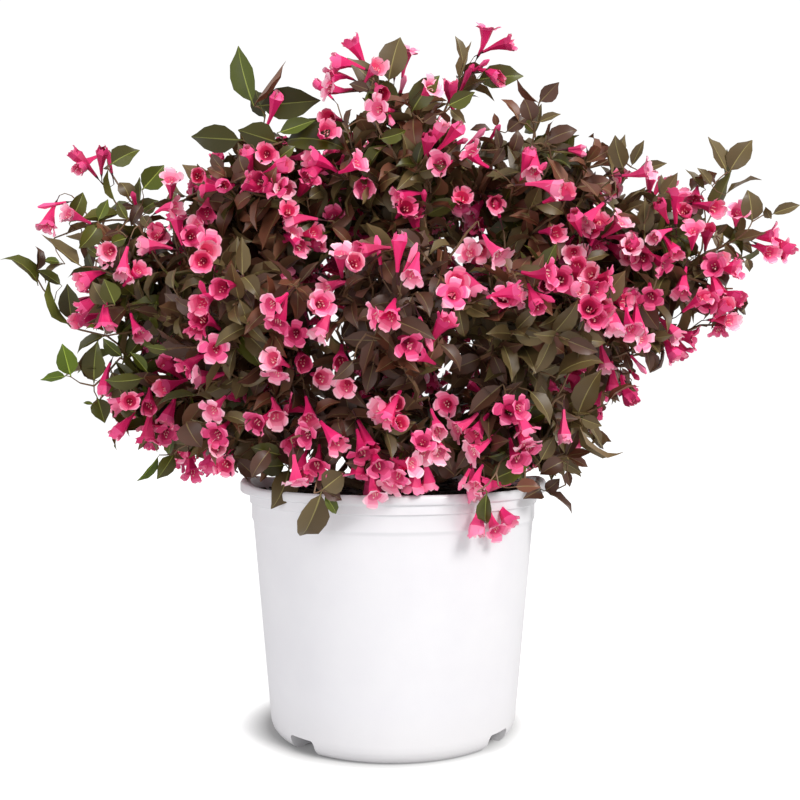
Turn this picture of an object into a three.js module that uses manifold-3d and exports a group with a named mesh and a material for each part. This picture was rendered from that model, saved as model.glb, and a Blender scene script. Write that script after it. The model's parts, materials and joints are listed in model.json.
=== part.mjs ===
// A flowering weigela shrub in its white nursery pot, in millimetres, +Z up.
// The origin is the middle of the pot's flat underside. -Y is the front, +X the right-hand side.
import * as THREE from "three";
import { mergeVertices } from "three/addons/utils/BufferGeometryUtils.js";
import Module from "manifold-3d";

const wasm = await Module();
wasm.setup();

// ---------- Driving dimensions ----------

const POT_HEIGHT = 235;
const LIP_RADIUS = 140.5; // the rolled lip
const LIP_HEIGHT = 8.5;
const LIP_INSIDE = 4; // how far the lip's inner edge stands in from its outer edge
const COLLAR_RADIUS = 138; // the straight collar under the lip
const COLLAR_STEPS = [218, 203]; // heights of the two steps under the lip
const STEP_IN = 2;
const SHOULDER_RADIUS = COLLAR_RADIUS - 1.8 * STEP_IN; // top of the tapered wall
const WALL_FOOT_RADIUS = 118; // bottom of the tapered wall, above the rounded corner
const FOOT_RADIUS = 106; // edge of the flat underside
const CORNER_HEIGHT = 17;
const WALL = 2.5;
const ROUND_SEGMENTS = 26;

const GRIP_REACH = 7.5; // the lip swells into a grip on the left and on the right
const GRIP_RISE = 6;
const GRIP_SPREAD = 34; // degrees to each side of a grip's middle

const DRAIN_WIDTH = 31;
const DRAIN_HEIGHT = 14.5;
const DRAIN_CORNER = 4;
const DRAIN_INNER_RADIUS = 90;
const DRAIN_TURN = 5.5; // degrees: the four drains are turned this much to the right
const DRAIN_SPREAD = 49.5; // degrees to each side of the front and of the back
const DRAIN_HOLE = [14, 5]; // width and height of the hole in each drain's inner wall

const GAP = 0.4; // kept between pieces that touch
const MIX_TOP = POT_HEIGHT - 11;

const ROOT_CROWN_FOOT = 36; // radius where the stems spring from the mix
const ROOT_CROWN_TOP = 25;
const ROOT_CROWN_HEIGHT = 20;

const BOUGH_RADII = [4.6, 2.6]; // a main stem where it springs and where it ends
const BOUGH_SWAY = 5;
const BOUGH_STEPS = 4;
const BOUGH_SIDES = 6;
const SHOOT_RADII = [2.2, 1.6];
const SHOOT_STEPS = 6;

const LUMP_DEPTH = 0.12; // how uneven a mass is, as a share of its reach
const RAGGED = 0.05; // and how ragged from face to face
const FURTHEST_LUMP = 1.12; // as a share of a mass's reach
const SPRAY_SLIM = 0.35; // how much slimmer a lone spray is at its tip

// ---------- Materials ----------

const finish = (color, roughness) => new THREE.MeshStandardMaterial({ color, roughness, metalness: 0 });
const potPlastic = finish(0xf3f2f5, 0.42);
const pottingMix = finish(0x1d1511, 0.95);
const bark = finish(0x6a5236, 0.85);
const bronzeLeaf = finish(0x43362a, 0.55);
const greenLeaf = finish(0x4c5a2c, 0.55);
const pinkBloom = finish(0xd9587f, 0.6);

// ---------- Solids ----------

function bare(geometry) {
  geometry.deleteAttribute("normal");
  geometry.deleteAttribute("uv");
  return mergeVertices(geometry, 1e-4);
}

function solidOf(geometry) {
  const merged = bare(geometry);
  return new wasm.Manifold(
    new wasm.Mesh({
      numProp: 3,
      vertProperties: merged.attributes.position.array,
      triVerts: new Uint32Array(merged.index.array),
    }),
  );
}

function geometryOf(solid) {
  const mesh = solid.getMesh();
  return new THREE.BufferGeometry()
    .setAttribute("position", new THREE.BufferAttribute(mesh.vertProperties, mesh.numProp))
    .setIndex(new THREE.BufferAttribute(mesh.triVerts, 1));
}

// Moves every vertex of a geometry with the function move, which changes the point that it is given.
function shaped(geometry, move) {
  const places = geometry.attributes.position;
  const point = new THREE.Vector3();
  for (let i = 0; i < places.count; i++) {
    point.fromBufferAttribute(places, i);
    move(point);
    places.setXYZ(i, point.x, point.y, point.z);
  }
  return geometry;
}

const largest = (solid) => solid.decompose().reduce((a, b) => (b.volume() > a.volume() ? b : a));

const vector = (place) => new THREE.Vector3(...place);

// The surface of revolution about +Z of [radius, height] points that start and end on the axis.
function turned(profile, segments = ROUND_SEGMENTS) {
  const points = profile.map(([r, z]) => new THREE.Vector2(r, z));
  return new THREE.LatheGeometry(points, segments).rotateX(Math.PI / 2);
}

// Random numbers from 0 to 1, the same ones for the same seed.
function seeded(seed) {
  let state = seed;
  return () => {
    state = (state + 0x6d2b79f5) | 0;
    let t = Math.imul(state ^ (state >>> 15), 1 | state);
    t = (t + Math.imul(t ^ (t >>> 7), 61 | t)) ^ t;
    return ((t ^ (t >>> 14)) >>> 0) / 4294967296;
  };
}

// ---------- Pot and potting mix ----------

// The outside of the pot from the middle of its underside to its lip, moved out by grow.
function potOutside(grow = 0) {
  const corner = [0.45, 1].map((share) => {
    const angle = (share * Math.PI) / 2;
    return [
      FOOT_RADIUS + (WALL_FOOT_RADIUS - FOOT_RADIUS) * Math.sin(angle) + grow,
      CORNER_HEIGHT * (1 - Math.cos(angle)) - grow,
    ];
  });
  const [high, low] = COLLAR_STEPS;
  const lipFoot = POT_HEIGHT - LIP_HEIGHT;
  return [
    [0, -grow],
    [FOOT_RADIUS + grow, -grow],
    ...corner,
    [SHOULDER_RADIUS + grow, low - 2],
    [COLLAR_RADIUS - STEP_IN + grow, low],
    [COLLAR_RADIUS - STEP_IN + grow, high - 1],
    [COLLAR_RADIUS + grow, high + 1],
    [COLLAR_RADIUS + grow, lipFoot - grow],
    [LIP_RADIUS + grow, lipFoot + 1.5],
    [LIP_RADIUS + grow, POT_HEIGHT - 2.5],
    [LIP_RADIUS - 2 + grow, POT_HEIGHT + grow],
  ];
}

function potInside() {
  return [
    [LIP_RADIUS - LIP_INSIDE, POT_HEIGHT - 0.8],
    [COLLAR_RADIUS - WALL - STEP_IN, POT_HEIGHT - LIP_HEIGHT],
    [SHOULDER_RADIUS - WALL, COLLAR_STEPS[1] - 2],
    [WALL_FOOT_RADIUS - WALL, CORNER_HEIGHT],
    [FOOT_RADIUS - 1, WALL],
    [0, WALL],
  ];
}

// Swells the lip into a grip at the left and at the right, and leaves everything under it.
function swellGrips(point) {
  const share = (point.z - POT_HEIGHT + LIP_HEIGHT) / LIP_HEIGHT;
  const bearing = THREE.MathUtils.radToDeg(Math.atan2(Math.abs(point.y), Math.abs(point.x)));
  if (share <= 0 || bearing > GRIP_SPREAD) {
    return;
  }
  const swell = (1 + Math.cos((Math.PI * bearing) / GRIP_SPREAD)) / 2;
  const radius = Math.hypot(point.x, point.y);
  const outer = Math.max(0, radius - LIP_RADIUS + LIP_INSIDE) / LIP_INSIDE;
  const reach = (radius + GRIP_REACH * swell * Math.min(1, outer)) / radius;
  point.set(point.x * reach, point.y * reach, point.z + GRIP_RISE * swell * share);
}

// One drain's block: an arch-topped bar that runs in from outside the wall to innerRadius.
function drainBar(bearing, innerRadius, extra) {
  const half = DRAIN_WIDTH / 2 + extra;
  const top = DRAIN_HEIGHT + extra;
  const round = DRAIN_CORNER + extra;
  const arch = new THREE.Shape();
  arch.moveTo(-half, -5);
  arch.lineTo(half, -5);
  arch.lineTo(half, top - round);
  arch.absarc(half - round, top - round, round, 0, Math.PI / 2, false);
  arch.absarc(-half + round, top - round, round, Math.PI / 2, Math.PI, false);
  const bar = new THREE.ExtrudeGeometry(arch, {
    depth: LIP_RADIUS - innerRadius,
    bevelEnabled: false,
    curveSegments: 2,
  });
  bar.rotateX(Math.PI / 2).translate(0, -innerRadius, 0);
  return solidOf(bar.rotateZ(THREE.MathUtils.degToRad(bearing)));
}

function drainHole(bearing) {
  const [width, height] = DRAIN_HOLE;
  const hole = new THREE.BoxGeometry(width, 20, height);
  hole.translate(0, -DRAIN_INNER_RADIUS, DRAIN_HEIGHT - DRAIN_CORNER - height / 2);
  return solidOf(hole.rotateZ(THREE.MathUtils.degToRad(bearing)));
}

const drainBearings = [0, 180].flatMap((end) => [
  end + DRAIN_TURN - DRAIN_SPREAD,
  end + DRAIN_TURN + DRAIN_SPREAD,
]);

function makePot() {
  const outside = potOutside();
  const core = solidOf(turned([...outside, [0, POT_HEIGHT]]));
  let pot = solidOf(shaped(turned([...outside, ...potInside()]), swellGrips));
  for (const bearing of drainBearings) {
    pot = pot.add(drainBar(bearing, DRAIN_INNER_RADIUS - WALL, WALL).intersect(core));
  }
  for (const bearing of drainBearings) {
    pot = pot.subtract(drainBar(bearing, DRAIN_INNER_RADIUS, 0)).subtract(drainHole(bearing));
  }
  return largest(pot);
}

// The mix fills the pot to just below the lip.
function makeMix() {
  const [, wallTop, shoulder, wallFoot] = potInside();
  const profile = [
    [0, WALL + GAP],
    [FOOT_RADIUS - 1 - 2 * GAP, WALL + GAP],
    [wallFoot[0] - 2 * GAP, wallFoot[1]],
    [shoulder[0] - 2 * GAP, shoulder[1]],
    [wallTop[0] - 3 * GAP, MIX_TOP],
    [0, MIX_TOP],
  ];
  const drains = drainBearings.map((b) => drainBar(b, DRAIN_INNER_RADIUS - WALL - GAP, WALL + GAP));
  return largest(drains.reduce((mix, drain) => mix.subtract(drain), solidOf(turned(profile))));
}

// ---------- Stems ----------

// The woody crown that all the stems spring from: a flat cut on the mix, flaring at its foot.
function makeRootCrown(grow = 0) {
  const foot = MIX_TOP + GAP;
  const profile = [
    [0, foot - grow],
    [ROOT_CROWN_FOOT + grow, foot - grow],
    [ROOT_CROWN_FOOT * 0.86 + grow, foot + ROOT_CROWN_HEIGHT * 0.3],
    [ROOT_CROWN_TOP + 2 + grow, foot + ROOT_CROWN_HEIGHT * 0.75],
    [ROOT_CROWN_TOP - 3 + grow, foot + ROOT_CROWN_HEIGHT + grow],
    [0, foot + ROOT_CROWN_HEIGHT + 2 + grow],
  ];
  return solidOf(turned(profile, 12));
}

// A round limb along a curve: a tapering cylinder whose rings are laid along the curve.
function limb(curve, [startRadius, endRadius], steps) {
  const frames = curve.computeFrenetFrames(steps, false);
  const cylinder = new THREE.CylinderGeometry(endRadius, startRadius, 1, BOUGH_SIDES, steps);
  const alongCurve = (point) => {
    const share = point.y + 0.5;
    const ring = Math.round(share * steps);
    const { x, z } = point;
    point.copy(curve.getPointAt(ring / steps));
    point.addScaledVector(frames.binormals[ring], x).addScaledVector(frames.normals[ring], z);
  };
  return solidOf(shaped(cylinder, alongCurve));
}

// A main stem springs from the root crown, spring mm from its axis, and arches to the middle of a mass.
function boughCurve({ to, spring, height, lift }) {
  const away = new THREE.Vector3(to[0], to[1], 0).normalize();
  const foot = away.clone().multiplyScalar(spring).setZ(MIX_TOP + height);
  const across = new THREE.Vector3(-away.y, away.x, 0);
  const points = [0, 0.25, 0.5, 0.75, 1].map((share) => {
    const point = foot.clone().lerp(vector(to), share);
    point.z += lift * 4 * share * (1 - share);
    return point.addScaledVector(across, BOUGH_SWAY * Math.sin(share * 2 * Math.PI));
  });
  return new THREE.CatmullRomCurve3(points);
}

// ---------- Masses of foliage ----------

// A ball of flat faces with soft lumps and a ragged surface.
function lumpyBall(ball, seed) {
  const random = seeded(seed);
  const waves = Array.from({ length: 6 }, () => ({
    way: new THREE.Vector3(random() - 0.5, random() - 0.5, random() - 0.5).normalize(),
    pitch: 3 + 3 * random(),
    phase: 2 * Math.PI * random(),
  }));
  return shaped(bare(ball), (point) => {
    point.normalize();
    const lump = waves.reduce((sum, w) => sum + Math.sin(point.dot(w.way) * w.pitch + w.phase), 0);
    const swell = (LUMP_DEPTH * lump) / Math.sqrt(waves.length) + RAGGED * (2 * random() - 1);
    point.multiplyScalar(1 + swell);
  });
}

// A mass is a lumpy ball pressed to its reach along three axes about its middle.
function roundMass({ at, reach, ...rest }) {
  const axes = [vector([1, 0, 0]), vector([0, 1, 0]), vector([0, 0, 1])];
  return { ...rest, middle: vector(at), axes, reach, ball: () => new THREE.OctahedronGeometry(1, 3), slim: 0 };
}

// A lone spray is an egg from its foot, inside the crown, to its slimmer tip.
function spray({ foot, tip, girth, depth = girth, ...rest }) {
  const middle = vector(foot).lerp(vector(tip), 0.5);
  const along = vector(tip).sub(middle);
  const reach = [girth, depth, along.length()];
  along.normalize();
  const side = vector([0, 1, 0]).cross(along).normalize();
  const axes = [side, along.clone().cross(side), along];
  return { ...rest, middle, axes, reach, ball: () => new THREE.IcosahedronGeometry(1, 1), slim: SPRAY_SLIM };
}

function foliageSolid({ middle, axes, reach, ball, slim, seed }, grow = 0) {
  const shape = lumpyBall(ball(), seed);
  shaped(shape, (point) => {
    const narrow = 1 - slim * Math.max(0, point.z);
    point.set(point.x * narrow, point.y * narrow, point.z);
  });
  shape.scale(...reach.map((r) => r + grow));
  return solidOf(shape.applyMatrix4(new THREE.Matrix4().makeBasis(...axes).setPosition(middle)));
}

// How far a mass reaches from its middle in the unit direction way.
function reachAlong({ axes, reach }, way) {
  return 1 / Math.hypot(...axes.map((axis, i) => way.dot(axis) / reach[i]));
}

// Cuts a mass back to its own side of the plane where it meets each of its neighbours.
function parted(mass, neighbours) {
  let solid = foliageSolid(mass);
  for (const other of neighbours) {
    const way = other.middle.clone().sub(mass.middle);
    const apart = way.length();
    way.divideScalar(apart);
    const own = reachAlong(mass, way);
    const theirs = reachAlong(other, way);
    if ((own + theirs) * FURTHEST_LUMP > apart) {
      const share = (apart ** 2 + own ** 2 - theirs ** 2) / (2 * apart);
      const back = way.clone().negate();
      solid = solid.trimByPlane(back.toArray(), back.dot(mass.middle) - share + GAP / 2);
    }
  }
  return solid;
}

const masses = [
  { name: "foliage_front_centre", at: [0, -142, 394], reach: [74, 72, 76], look: bronzeLeaf },
  { name: "foliage_front_left", at: [-124, -112, 390], reach: [78, 76, 74], look: pinkBloom },
  { name: "foliage_front_right", at: [116, -110, 388], reach: [78, 76, 72], look: bronzeLeaf },
  { name: "foliage_low_front", at: [-16, -124, 286], reach: [70, 60, 46], look: pinkBloom },
  { name: "foliage_low_front_left", at: [-132, -84, 292], reach: [68, 68, 50], look: pinkBloom },
  { name: "foliage_low_front_right", at: [94, -98, 286], reach: [66, 64, 46], look: pinkBloom },
  { name: "foliage_upper_left", at: [-122, -32, 500], reach: [94, 96, 70], look: bronzeLeaf },
  { name: "foliage_upper_centre", at: [8, -52, 528], reach: [86, 88, 78], look: bronzeLeaf },
  { name: "foliage_upper_right", at: [140, -34, 514], reach: [84, 90, 72], look: bronzeLeaf },
  { name: "foliage_left", at: [-234, -12, 420], reach: [78, 90, 72], look: pinkBloom },
  { name: "foliage_low_left", at: [-218, -22, 312], reach: [66, 80, 54], look: pinkBloom },
  { name: "foliage_right_shoulder", at: [236, 0, 474], reach: [78, 90, 66], look: pinkBloom },
  { name: "foliage_right", at: [214, -16, 378], reach: [70, 88, 62], look: bronzeLeaf },
  { name: "foliage_low_right", at: [160, -24, 290], reach: [62, 80, 48], look: bronzeLeaf },
  { name: "foliage_back_centre", at: [4, 178, 428], reach: [90, 78, 70], look: bronzeLeaf },
  { name: "foliage_back_top", at: [-4, 98, 524], reach: [100, 94, 76], look: bronzeLeaf },
  { name: "foliage_back_left", at: [-146, 116, 452], reach: [92, 90, 80], look: pinkBloom },
  { name: "foliage_back_right", at: [154, 116, 450], reach: [92, 90, 80], look: bronzeLeaf },
  { name: "foliage_low_back", at: [0, 160, 312], reach: [86, 80, 64], look: pinkBloom },
  { name: "foliage_low_back_left", at: [-158, 100, 320], reach: [90, 86, 66], look: bronzeLeaf },
  { name: "foliage_low_back_right", at: [158, 102, 318], reach: [90, 86, 66], look: pinkBloom },
];

const sprays = [
  { name: "spray_far_left", foot: [-300, -26, 420], tip: [-384, -28, 450], girth: 25, look: greenLeaf },
  { name: "spray_left_blooms", foot: [-268, -8, 462], tip: [-352, -4, 506], girth: 30, look: pinkBloom },
  { name: "spray_left_upper", foot: [-198, -8, 500], tip: [-320, -6, 566], girth: 34, look: greenLeaf },
  { name: "spray_left_lower", foot: [-252, -30, 330], tip: [-342, -36, 358], girth: 27, look: greenLeaf },
  { name: "spray_top_left", foot: [-70, -34, 536], tip: [-148, -24, 656], girth: 40, look: greenLeaf },
  { name: "spray_left_shoulder", foot: [-122, -30, 520], tip: [-200, -34, 580], girth: 27, look: bronzeLeaf },
  { name: "spray_top_centre", foot: [-12, -40, 550], tip: [-44, -30, 670], girth: 48, look: pinkBloom },
  { name: "spray_top_right", foot: [48, -34, 546], tip: [104, -16, 684], girth: 41, look: pinkBloom },
  { name: "spray_upper_right", foot: [130, -30, 542], tip: [152, -16, 632], girth: 42, look: bronzeLeaf },
  { name: "spray_right_upper", foot: [204, -14, 500], tip: [242, -6, 574], girth: 34, look: bronzeLeaf },
  { name: "spray_right_leafy", foot: [286, -8, 476], tip: [338, 0, 580], girth: 32, look: bronzeLeaf },
  { name: "spray_far_right", foot: [268, -18, 466], tip: [398, -14, 480], girth: 40, look: pinkBloom },
  { name: "spray_right_blooms", foot: [256, -28, 436], tip: [344, -38, 388], girth: 36, look: pinkBloom },
  { name: "spray_right_lower", foot: [214, -34, 380], tip: [280, -44, 330], girth: 28, look: pinkBloom },
  { name: "spray_low_right", foot: [172, -40, 320], tip: [228, -48, 258], girth: 30, look: bronzeLeaf },
  { name: "spray_rim_far_right", foot: [142, -60, 288], tip: [172, -64, 200], girth: 28, look: bronzeLeaf },
  { name: "spray_rim_right", foot: [78, -140, 258], tip: [94, -168, 188], girth: 34, depth: 17, look: pinkBloom },
  { name: "spray_rim_left", foot: [-64, -140, 262], tip: [-74, -166, 204], girth: 24, depth: 15, look: bronzeLeaf },
  { name: "spray_back_left", foot: [-190, 150, 452], tip: [-288, 216, 500], girth: 44, look: greenLeaf },
  { name: "spray_back_right", foot: [196, 156, 436], tip: [284, 226, 462], girth: 44, look: pinkBloom },
  { name: "spray_back_top", foot: [-26, 116, 560], tip: [-68, 150, 656], girth: 46, look: pinkBloom },
  { name: "spray_back", foot: [20, 216, 404], tip: [36, 308, 410], girth: 46, look: bronzeLeaf },
];

const outer = { spring: 20, height: 10 };
const inner = { spring: 9, height: 14 };
const low = { spring: 26, height: 6 };

// Where each main stem ends, where it springs, and how much it arches.
const boughs = [
  { name: "bough_front_centre", to: [0, -142, 394], ...outer, lift: 20 },
  { name: "bough_front_left", to: [-124, -112, 390], ...outer, lift: 22 },
  { name: "bough_front_right", to: [116, -110, 388], ...outer, lift: 22 },
  { name: "bough_left", to: [-234, -12, 420], ...outer, lift: 18 },
  { name: "bough_right", to: [214, -16, 378], ...outer, lift: 22 },
  { name: "bough_back_left", to: [-146, 116, 452], ...outer, lift: 18 },
  { name: "bough_back_right", to: [154, 116, 450], ...outer, lift: 18 },
  { name: "bough_back_centre", to: [4, 178, 428], ...outer, lift: 18 },
  { name: "bough_upper_left", to: [-122, -32, 500], ...inner, lift: -22 },
  { name: "bough_upper_centre", to: [8, -52, 528], ...inner, lift: 0 },
  { name: "bough_upper_right", to: [140, -34, 514], ...inner, lift: -22 },
  { name: "bough_low_left", to: [-218, -22, 312], ...low, lift: -6 },
  { name: "bough_low_right", to: [160, -24, 290], ...low, lift: 0 },
];

// The one long bare shoot, which arches out of the left side to the far left spray.
const farShoot = {
  name: "shoot_far_left",
  points: [
    [-258, -28, 366],
    [-286, -30, 382],
    [-309, -30, 404],
    [-320, -29, 428],
    [-336, -28, 446],
  ],
};

// ---------- Assembly ----------

const shrub = new THREE.Group();

function place(name, solid, material) {
  const mesh = new THREE.Mesh(geometryOf(solid), material);
  mesh.name = name;
  shrub.add(mesh);
}

place("pot", makePot(), potPlastic);
place("potting_mix", makeMix(), pottingMix);
place("root_crown", makeRootCrown(), bark);

const foliage = [...masses.map(roundMass), ...sprays.map(spray)].map((mass, i) => ({ ...mass, seed: 11 + i }));
const potRoom = solidOf(shaped(turned([...potOutside(2 * GAP), [0, POT_HEIGHT + 2 * GAP]]), swellGrips));
for (const mass of foliage) {
  const neighbours = foliage.filter((other) => other !== mass);
  place(mass.name, largest(parted(mass, neighbours).subtract(potRoom)), mass.look);
}

// Each stem runs from the root crown to where it enters a mass, so it is the lowest piece of what is left.
const lowest = (solids) =>
  solids.reduce((a, b) => (b.boundingBox().min[2] < a.boundingBox().min[2] ? b : a));
const allFoliage = wasm.Manifold.union(foliage.map((mass) => foliageSolid(mass, GAP)));
const hidden = makeRootCrown(GAP).add(allFoliage);
for (const bough of boughs) {
  const whole = limb(boughCurve(bough), BOUGH_RADII, BOUGH_STEPS);
  place(bough.name, lowest(whole.subtract(hidden).decompose()), bark);
}

const shootCurve = new THREE.CatmullRomCurve3(farShoot.points.map(vector));
place(farShoot.name, largest(limb(shootCurve, SHOOT_RADII, SHOOT_STEPS).subtract(allFoliage)), bark);

export default shrub;
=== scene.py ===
"""A flowering weigela in its white nursery pot, in metres, +Z up, -Y to the front.

The pot, the bark mix and the woody stems are modelled as pieces of their own. Twigs, leaves and
blossom grow on from the stems by a branching rule with a fixed seed, out to the crown's surface.
"""
import json
import math
import random

import bmesh
import bpy
import numpy as np
from mathutils import Matrix, Vector
from mathutils.bvhtree import BVHTree
from mathutils.geometry import interpolate_bezier
from mathutils.kdtree import KDTree

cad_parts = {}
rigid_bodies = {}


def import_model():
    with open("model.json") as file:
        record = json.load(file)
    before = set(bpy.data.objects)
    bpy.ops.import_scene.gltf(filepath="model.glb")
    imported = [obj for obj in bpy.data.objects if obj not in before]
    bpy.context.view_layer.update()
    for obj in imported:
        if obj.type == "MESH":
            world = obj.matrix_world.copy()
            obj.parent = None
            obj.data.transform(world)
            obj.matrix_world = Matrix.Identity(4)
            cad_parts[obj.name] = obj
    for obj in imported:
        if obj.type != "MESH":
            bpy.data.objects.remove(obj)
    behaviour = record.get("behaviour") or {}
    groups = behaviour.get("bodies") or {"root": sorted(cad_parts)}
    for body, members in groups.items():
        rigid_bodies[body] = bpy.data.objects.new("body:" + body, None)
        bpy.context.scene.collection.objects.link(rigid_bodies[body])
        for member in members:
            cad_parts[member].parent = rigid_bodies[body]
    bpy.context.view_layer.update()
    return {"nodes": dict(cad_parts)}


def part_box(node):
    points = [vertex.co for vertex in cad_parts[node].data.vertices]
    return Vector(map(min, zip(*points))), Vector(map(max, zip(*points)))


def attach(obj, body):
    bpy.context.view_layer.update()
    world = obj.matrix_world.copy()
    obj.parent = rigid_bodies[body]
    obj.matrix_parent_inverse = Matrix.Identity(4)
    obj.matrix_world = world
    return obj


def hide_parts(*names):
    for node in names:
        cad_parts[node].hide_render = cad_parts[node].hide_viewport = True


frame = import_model()
NODES = frame["nodes"]

MM = 0.001
SEED = 20
UP = Vector((0, 0, 1))

# ---------- Driving sizes, in millimetres unless said ----------

POT_HEIGHT = 235
POT_SIDES = 144
SOLE_RISE = 0.8  # of the pot's underside inside its standing ring
CORNER_TOP = 17  # of the round between foot and wall
WALL_TOP = 201
LIP_RADIUS = 140.5
COLLAR_RADIUS = 138
SHOULDER_RADIUS = 134.4
WALL_FOOT_RADIUS = 118
FOOT_RADIUS = 106
WALL = 2.5
GRIP_REACH = 7
GRIP_RISE = 6
GRIP_SPREAD = 34  # degrees to each side of a grip's middle
DRAIN_WIDTH = 31
DRAIN_HEIGHT = 14.5
DRAIN_INNER_RADIUS = 90
DRAIN_BEARINGS = (-44, 55, 136, 235)  # degrees from the front
DRAIN_CORNER = 4  # radius of a notch's two upper corners
MIX_TOP = 224

SURFACE_GRAIN = 11  # between the points that stand for the crown's surface
NEIGHBOURS = 4  # the nearest of these points, by which a place's depth is judged
# How deep twigs end under the leaves' surface, layer by layer, and how far apart.
TIP_LAYERS = ((22, 30), (50, 30), (84, 32), (122, 36), (160, 38), (198, 40))
LONE_DEPTH = 17  # the same for the lone sprays
LONE_SPACING = 36
LEAFY_LENGTH = 160  # of every shoot, from its tip
NODE_SPACING = 15  # between one pair of leaves and the next
LEAF_LENGTH = 42
LEAF_ROOM = 8.5  # between the middles of two leaves
FLOWER_LENGTH = 35.5  # from the foot of its stalk to the flower's mouth
BELL_DEPTH = 5  # from a flower's mouth to the middle of its bell
BELL_ROOM = 14  # from there to a single leaf of the front
FLOWER_ROOM = 15  # between the mouths of two flowers
POSY_ROOM = 30  # between the feet of flowers that share a twig
DEEP_SHARE = 0.45  # of its layer's depth that every inner twig's tip has over it at least
RAGGED_ABOVE = 0.36  # the crown's outline is ragged above this height, in metres
RAGGED_SHARE = 0.35  # of the shoots there are missing
EDGE_ON = 0.3  # the surface is part of the outline where its way out leans less than this to the view
POT_GAP = 18  # how far at most the front's flowers stand out before the pot
POT_FRONT = 60  # how far before the axis the pot's surface counts as its front
LEAF_BEHIND = 9  # how far the front's single leaves spring behind the surface
LEAF_NOD = (-0.15, 0.3)  # how much nearer their tips are than their feet, as a share of their length
QUARTER_LINE = 0.02  # the front quarters lie in front of this, in metres
HIDING_DEPTH = 0.09  # of foliage, past which nothing shows, in metres

CAMERA_PLACE = Vector((0.0065, -1.0, 0.315))  # in metres
LENS = 46.35
SENSOR = 36
VIEW = 800  # places in the camera's view are counted in this many steps across and down
VIEW_REACH = VIEW * LENS / SENSOR

# ---------- Camera, light and floor ----------

# How strong the white all round and the floor's glow are where they light, and where they are seen.
WORLD_STRENGTHS = (0.67, 1.05)
FLOOR_STRENGTHS = (0.34, 0.88)
FLOOR_GREY = 0.46
FLOOR_SIZE = 16  # in metres, as is the place of its middle
FLOOR_MIDDLE = (0, 2, 0)
PAINTED_SHADOW_CENTRE = (-8, 11, 0)  # middle of a painted contact shadow on the floor, where its glow is dimmed near the pot's foot
PAINTED_SHADOW_RADIUS = 113  # radius of that painted shadow
PAINTED_SHADOW_GLOW = 0.05  # the share of its glow that the floor has in that painted shadow
GLOW_REACH = 34  # how much further out the painted shadow fades and the floor glows fully

# Each lamp's place and width, in metres, and its power and colour. Both look at the plant's middle.
LAMPS = {
    "key": ((1.46, -1.56, 1.81), 0.8, 50, (1, 0.985, 0.965)),
    "fill": ((-1.8, -1.6, 0.9), 1.4, 17, (0.965, 0.965, 1)),
}
PLANT_MIDDLE = Vector((0, 0, 0.35))


def linear(code):
    """The shader's colour for a colour written as rrggbb."""
    parts = [int(code[i : i + 2], 16) / 255 for i in (0, 2, 4)]
    return tuple(p / 12.92 if p <= 0.04045 else ((p + 0.055) / 1.055) ** 2.4 for p in parts)


def plain(name, colour, roughness, specular=0.5):
    """A finish that is the same all over."""
    finish = bpy.data.materials.new(name)
    nodes = Nodes(finish)
    shader = nodes.tree.nodes["Principled BSDF"]
    nodes.feed(shader, Base_Color=(*colour, 1), Roughness=roughness, Specular_IOR_Level=specular)
    return finish


def placed(name, data):
    """A new object in the scene."""
    thing = bpy.data.objects.new(name, data)
    bpy.context.scene.collection.objects.link(thing)
    return thing


def make_camera():
    data = bpy.data.cameras.new("camera")
    data.lens = LENS
    data.sensor_width = SENSOR
    camera = placed("camera", data)
    camera.location = CAMERA_PLACE
    camera.rotation_euler = (math.radians(90), 0, 0)
    bpy.context.scene.camera = camera


def make_studio():
    """White all round, weaker where it lights, a soft key from the right and a fill from the left."""
    bpy.context.scene.view_settings.view_transform = "Standard"
    world = bpy.data.worlds.new("white studio")
    nodes = Nodes(world)
    strength = nodes.lit_or_seen(*WORLD_STRENGTHS)
    nodes.feed(nodes.tree.nodes["Background"], Color=(1, 1, 1, 1), Strength=strength)
    bpy.context.scene.world = world
    for name, (place, size, power, colour) in LAMPS.items():
        data = bpy.data.lights.new(name, "AREA")
        data.size = size
        data.energy = power
        data.color = colour
        lamp = placed(name, data)
        lamp.location = place
        lamp.rotation_euler = (PLANT_MIDDLE - Vector(place)).to_track_quat("-Z", "Y").to_euler()

    bpy.ops.object.select_all(action="DESELECT")
    bpy.ops.mesh.primitive_plane_add(size=FLOOR_SIZE, location=FLOOR_MIDDLE)
    floor = bpy.context.object
    floor.name = "floor"
    bpy.ops.object.transform_apply(location=True)
    floor.data.materials.append(paper_with_painted_shadow())


# ---------- Patterned finishes ----------


class Nodes:
    """The node tree of a material or of the world."""

    def __init__(self, owner):
        owner.use_nodes = True
        self.tree = owner.node_tree

    def fill(self, socket, value):
        """Links another node's output to an input, or sets a plain value on it."""
        if isinstance(value, bpy.types.NodeSocket):
            self.tree.links.new(value, socket)
        else:
            socket.default_value = value

    def feed(self, node, **inputs):
        """Fills a node's inputs, whose names are written with _ for a space."""
        for name, value in inputs.items():
            self.fill(node.inputs[name.replace("_", " ")], value)

    def node(self, kind, **inputs):
        node = self.tree.nodes.new("ShaderNode" + kind)
        self.feed(node, **inputs)
        return node

    def span(self, start, low, high, to_low, to_high):
        """A value that runs from low to high, stretched to run between two others."""
        ends = {"From_Min": low, "From_Max": high, "To_Min": to_low, "To_Max": to_high}
        return self.node("MapRange", Value=start, **ends).outputs["Result"]

    def lit_or_seen(self, lighting, seen):
        """One value where it lights something, and another where it is looked at."""
        return self.span(self.node("LightPath").outputs["Is Camera Ray"], 0, 1, lighting, seen)


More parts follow.
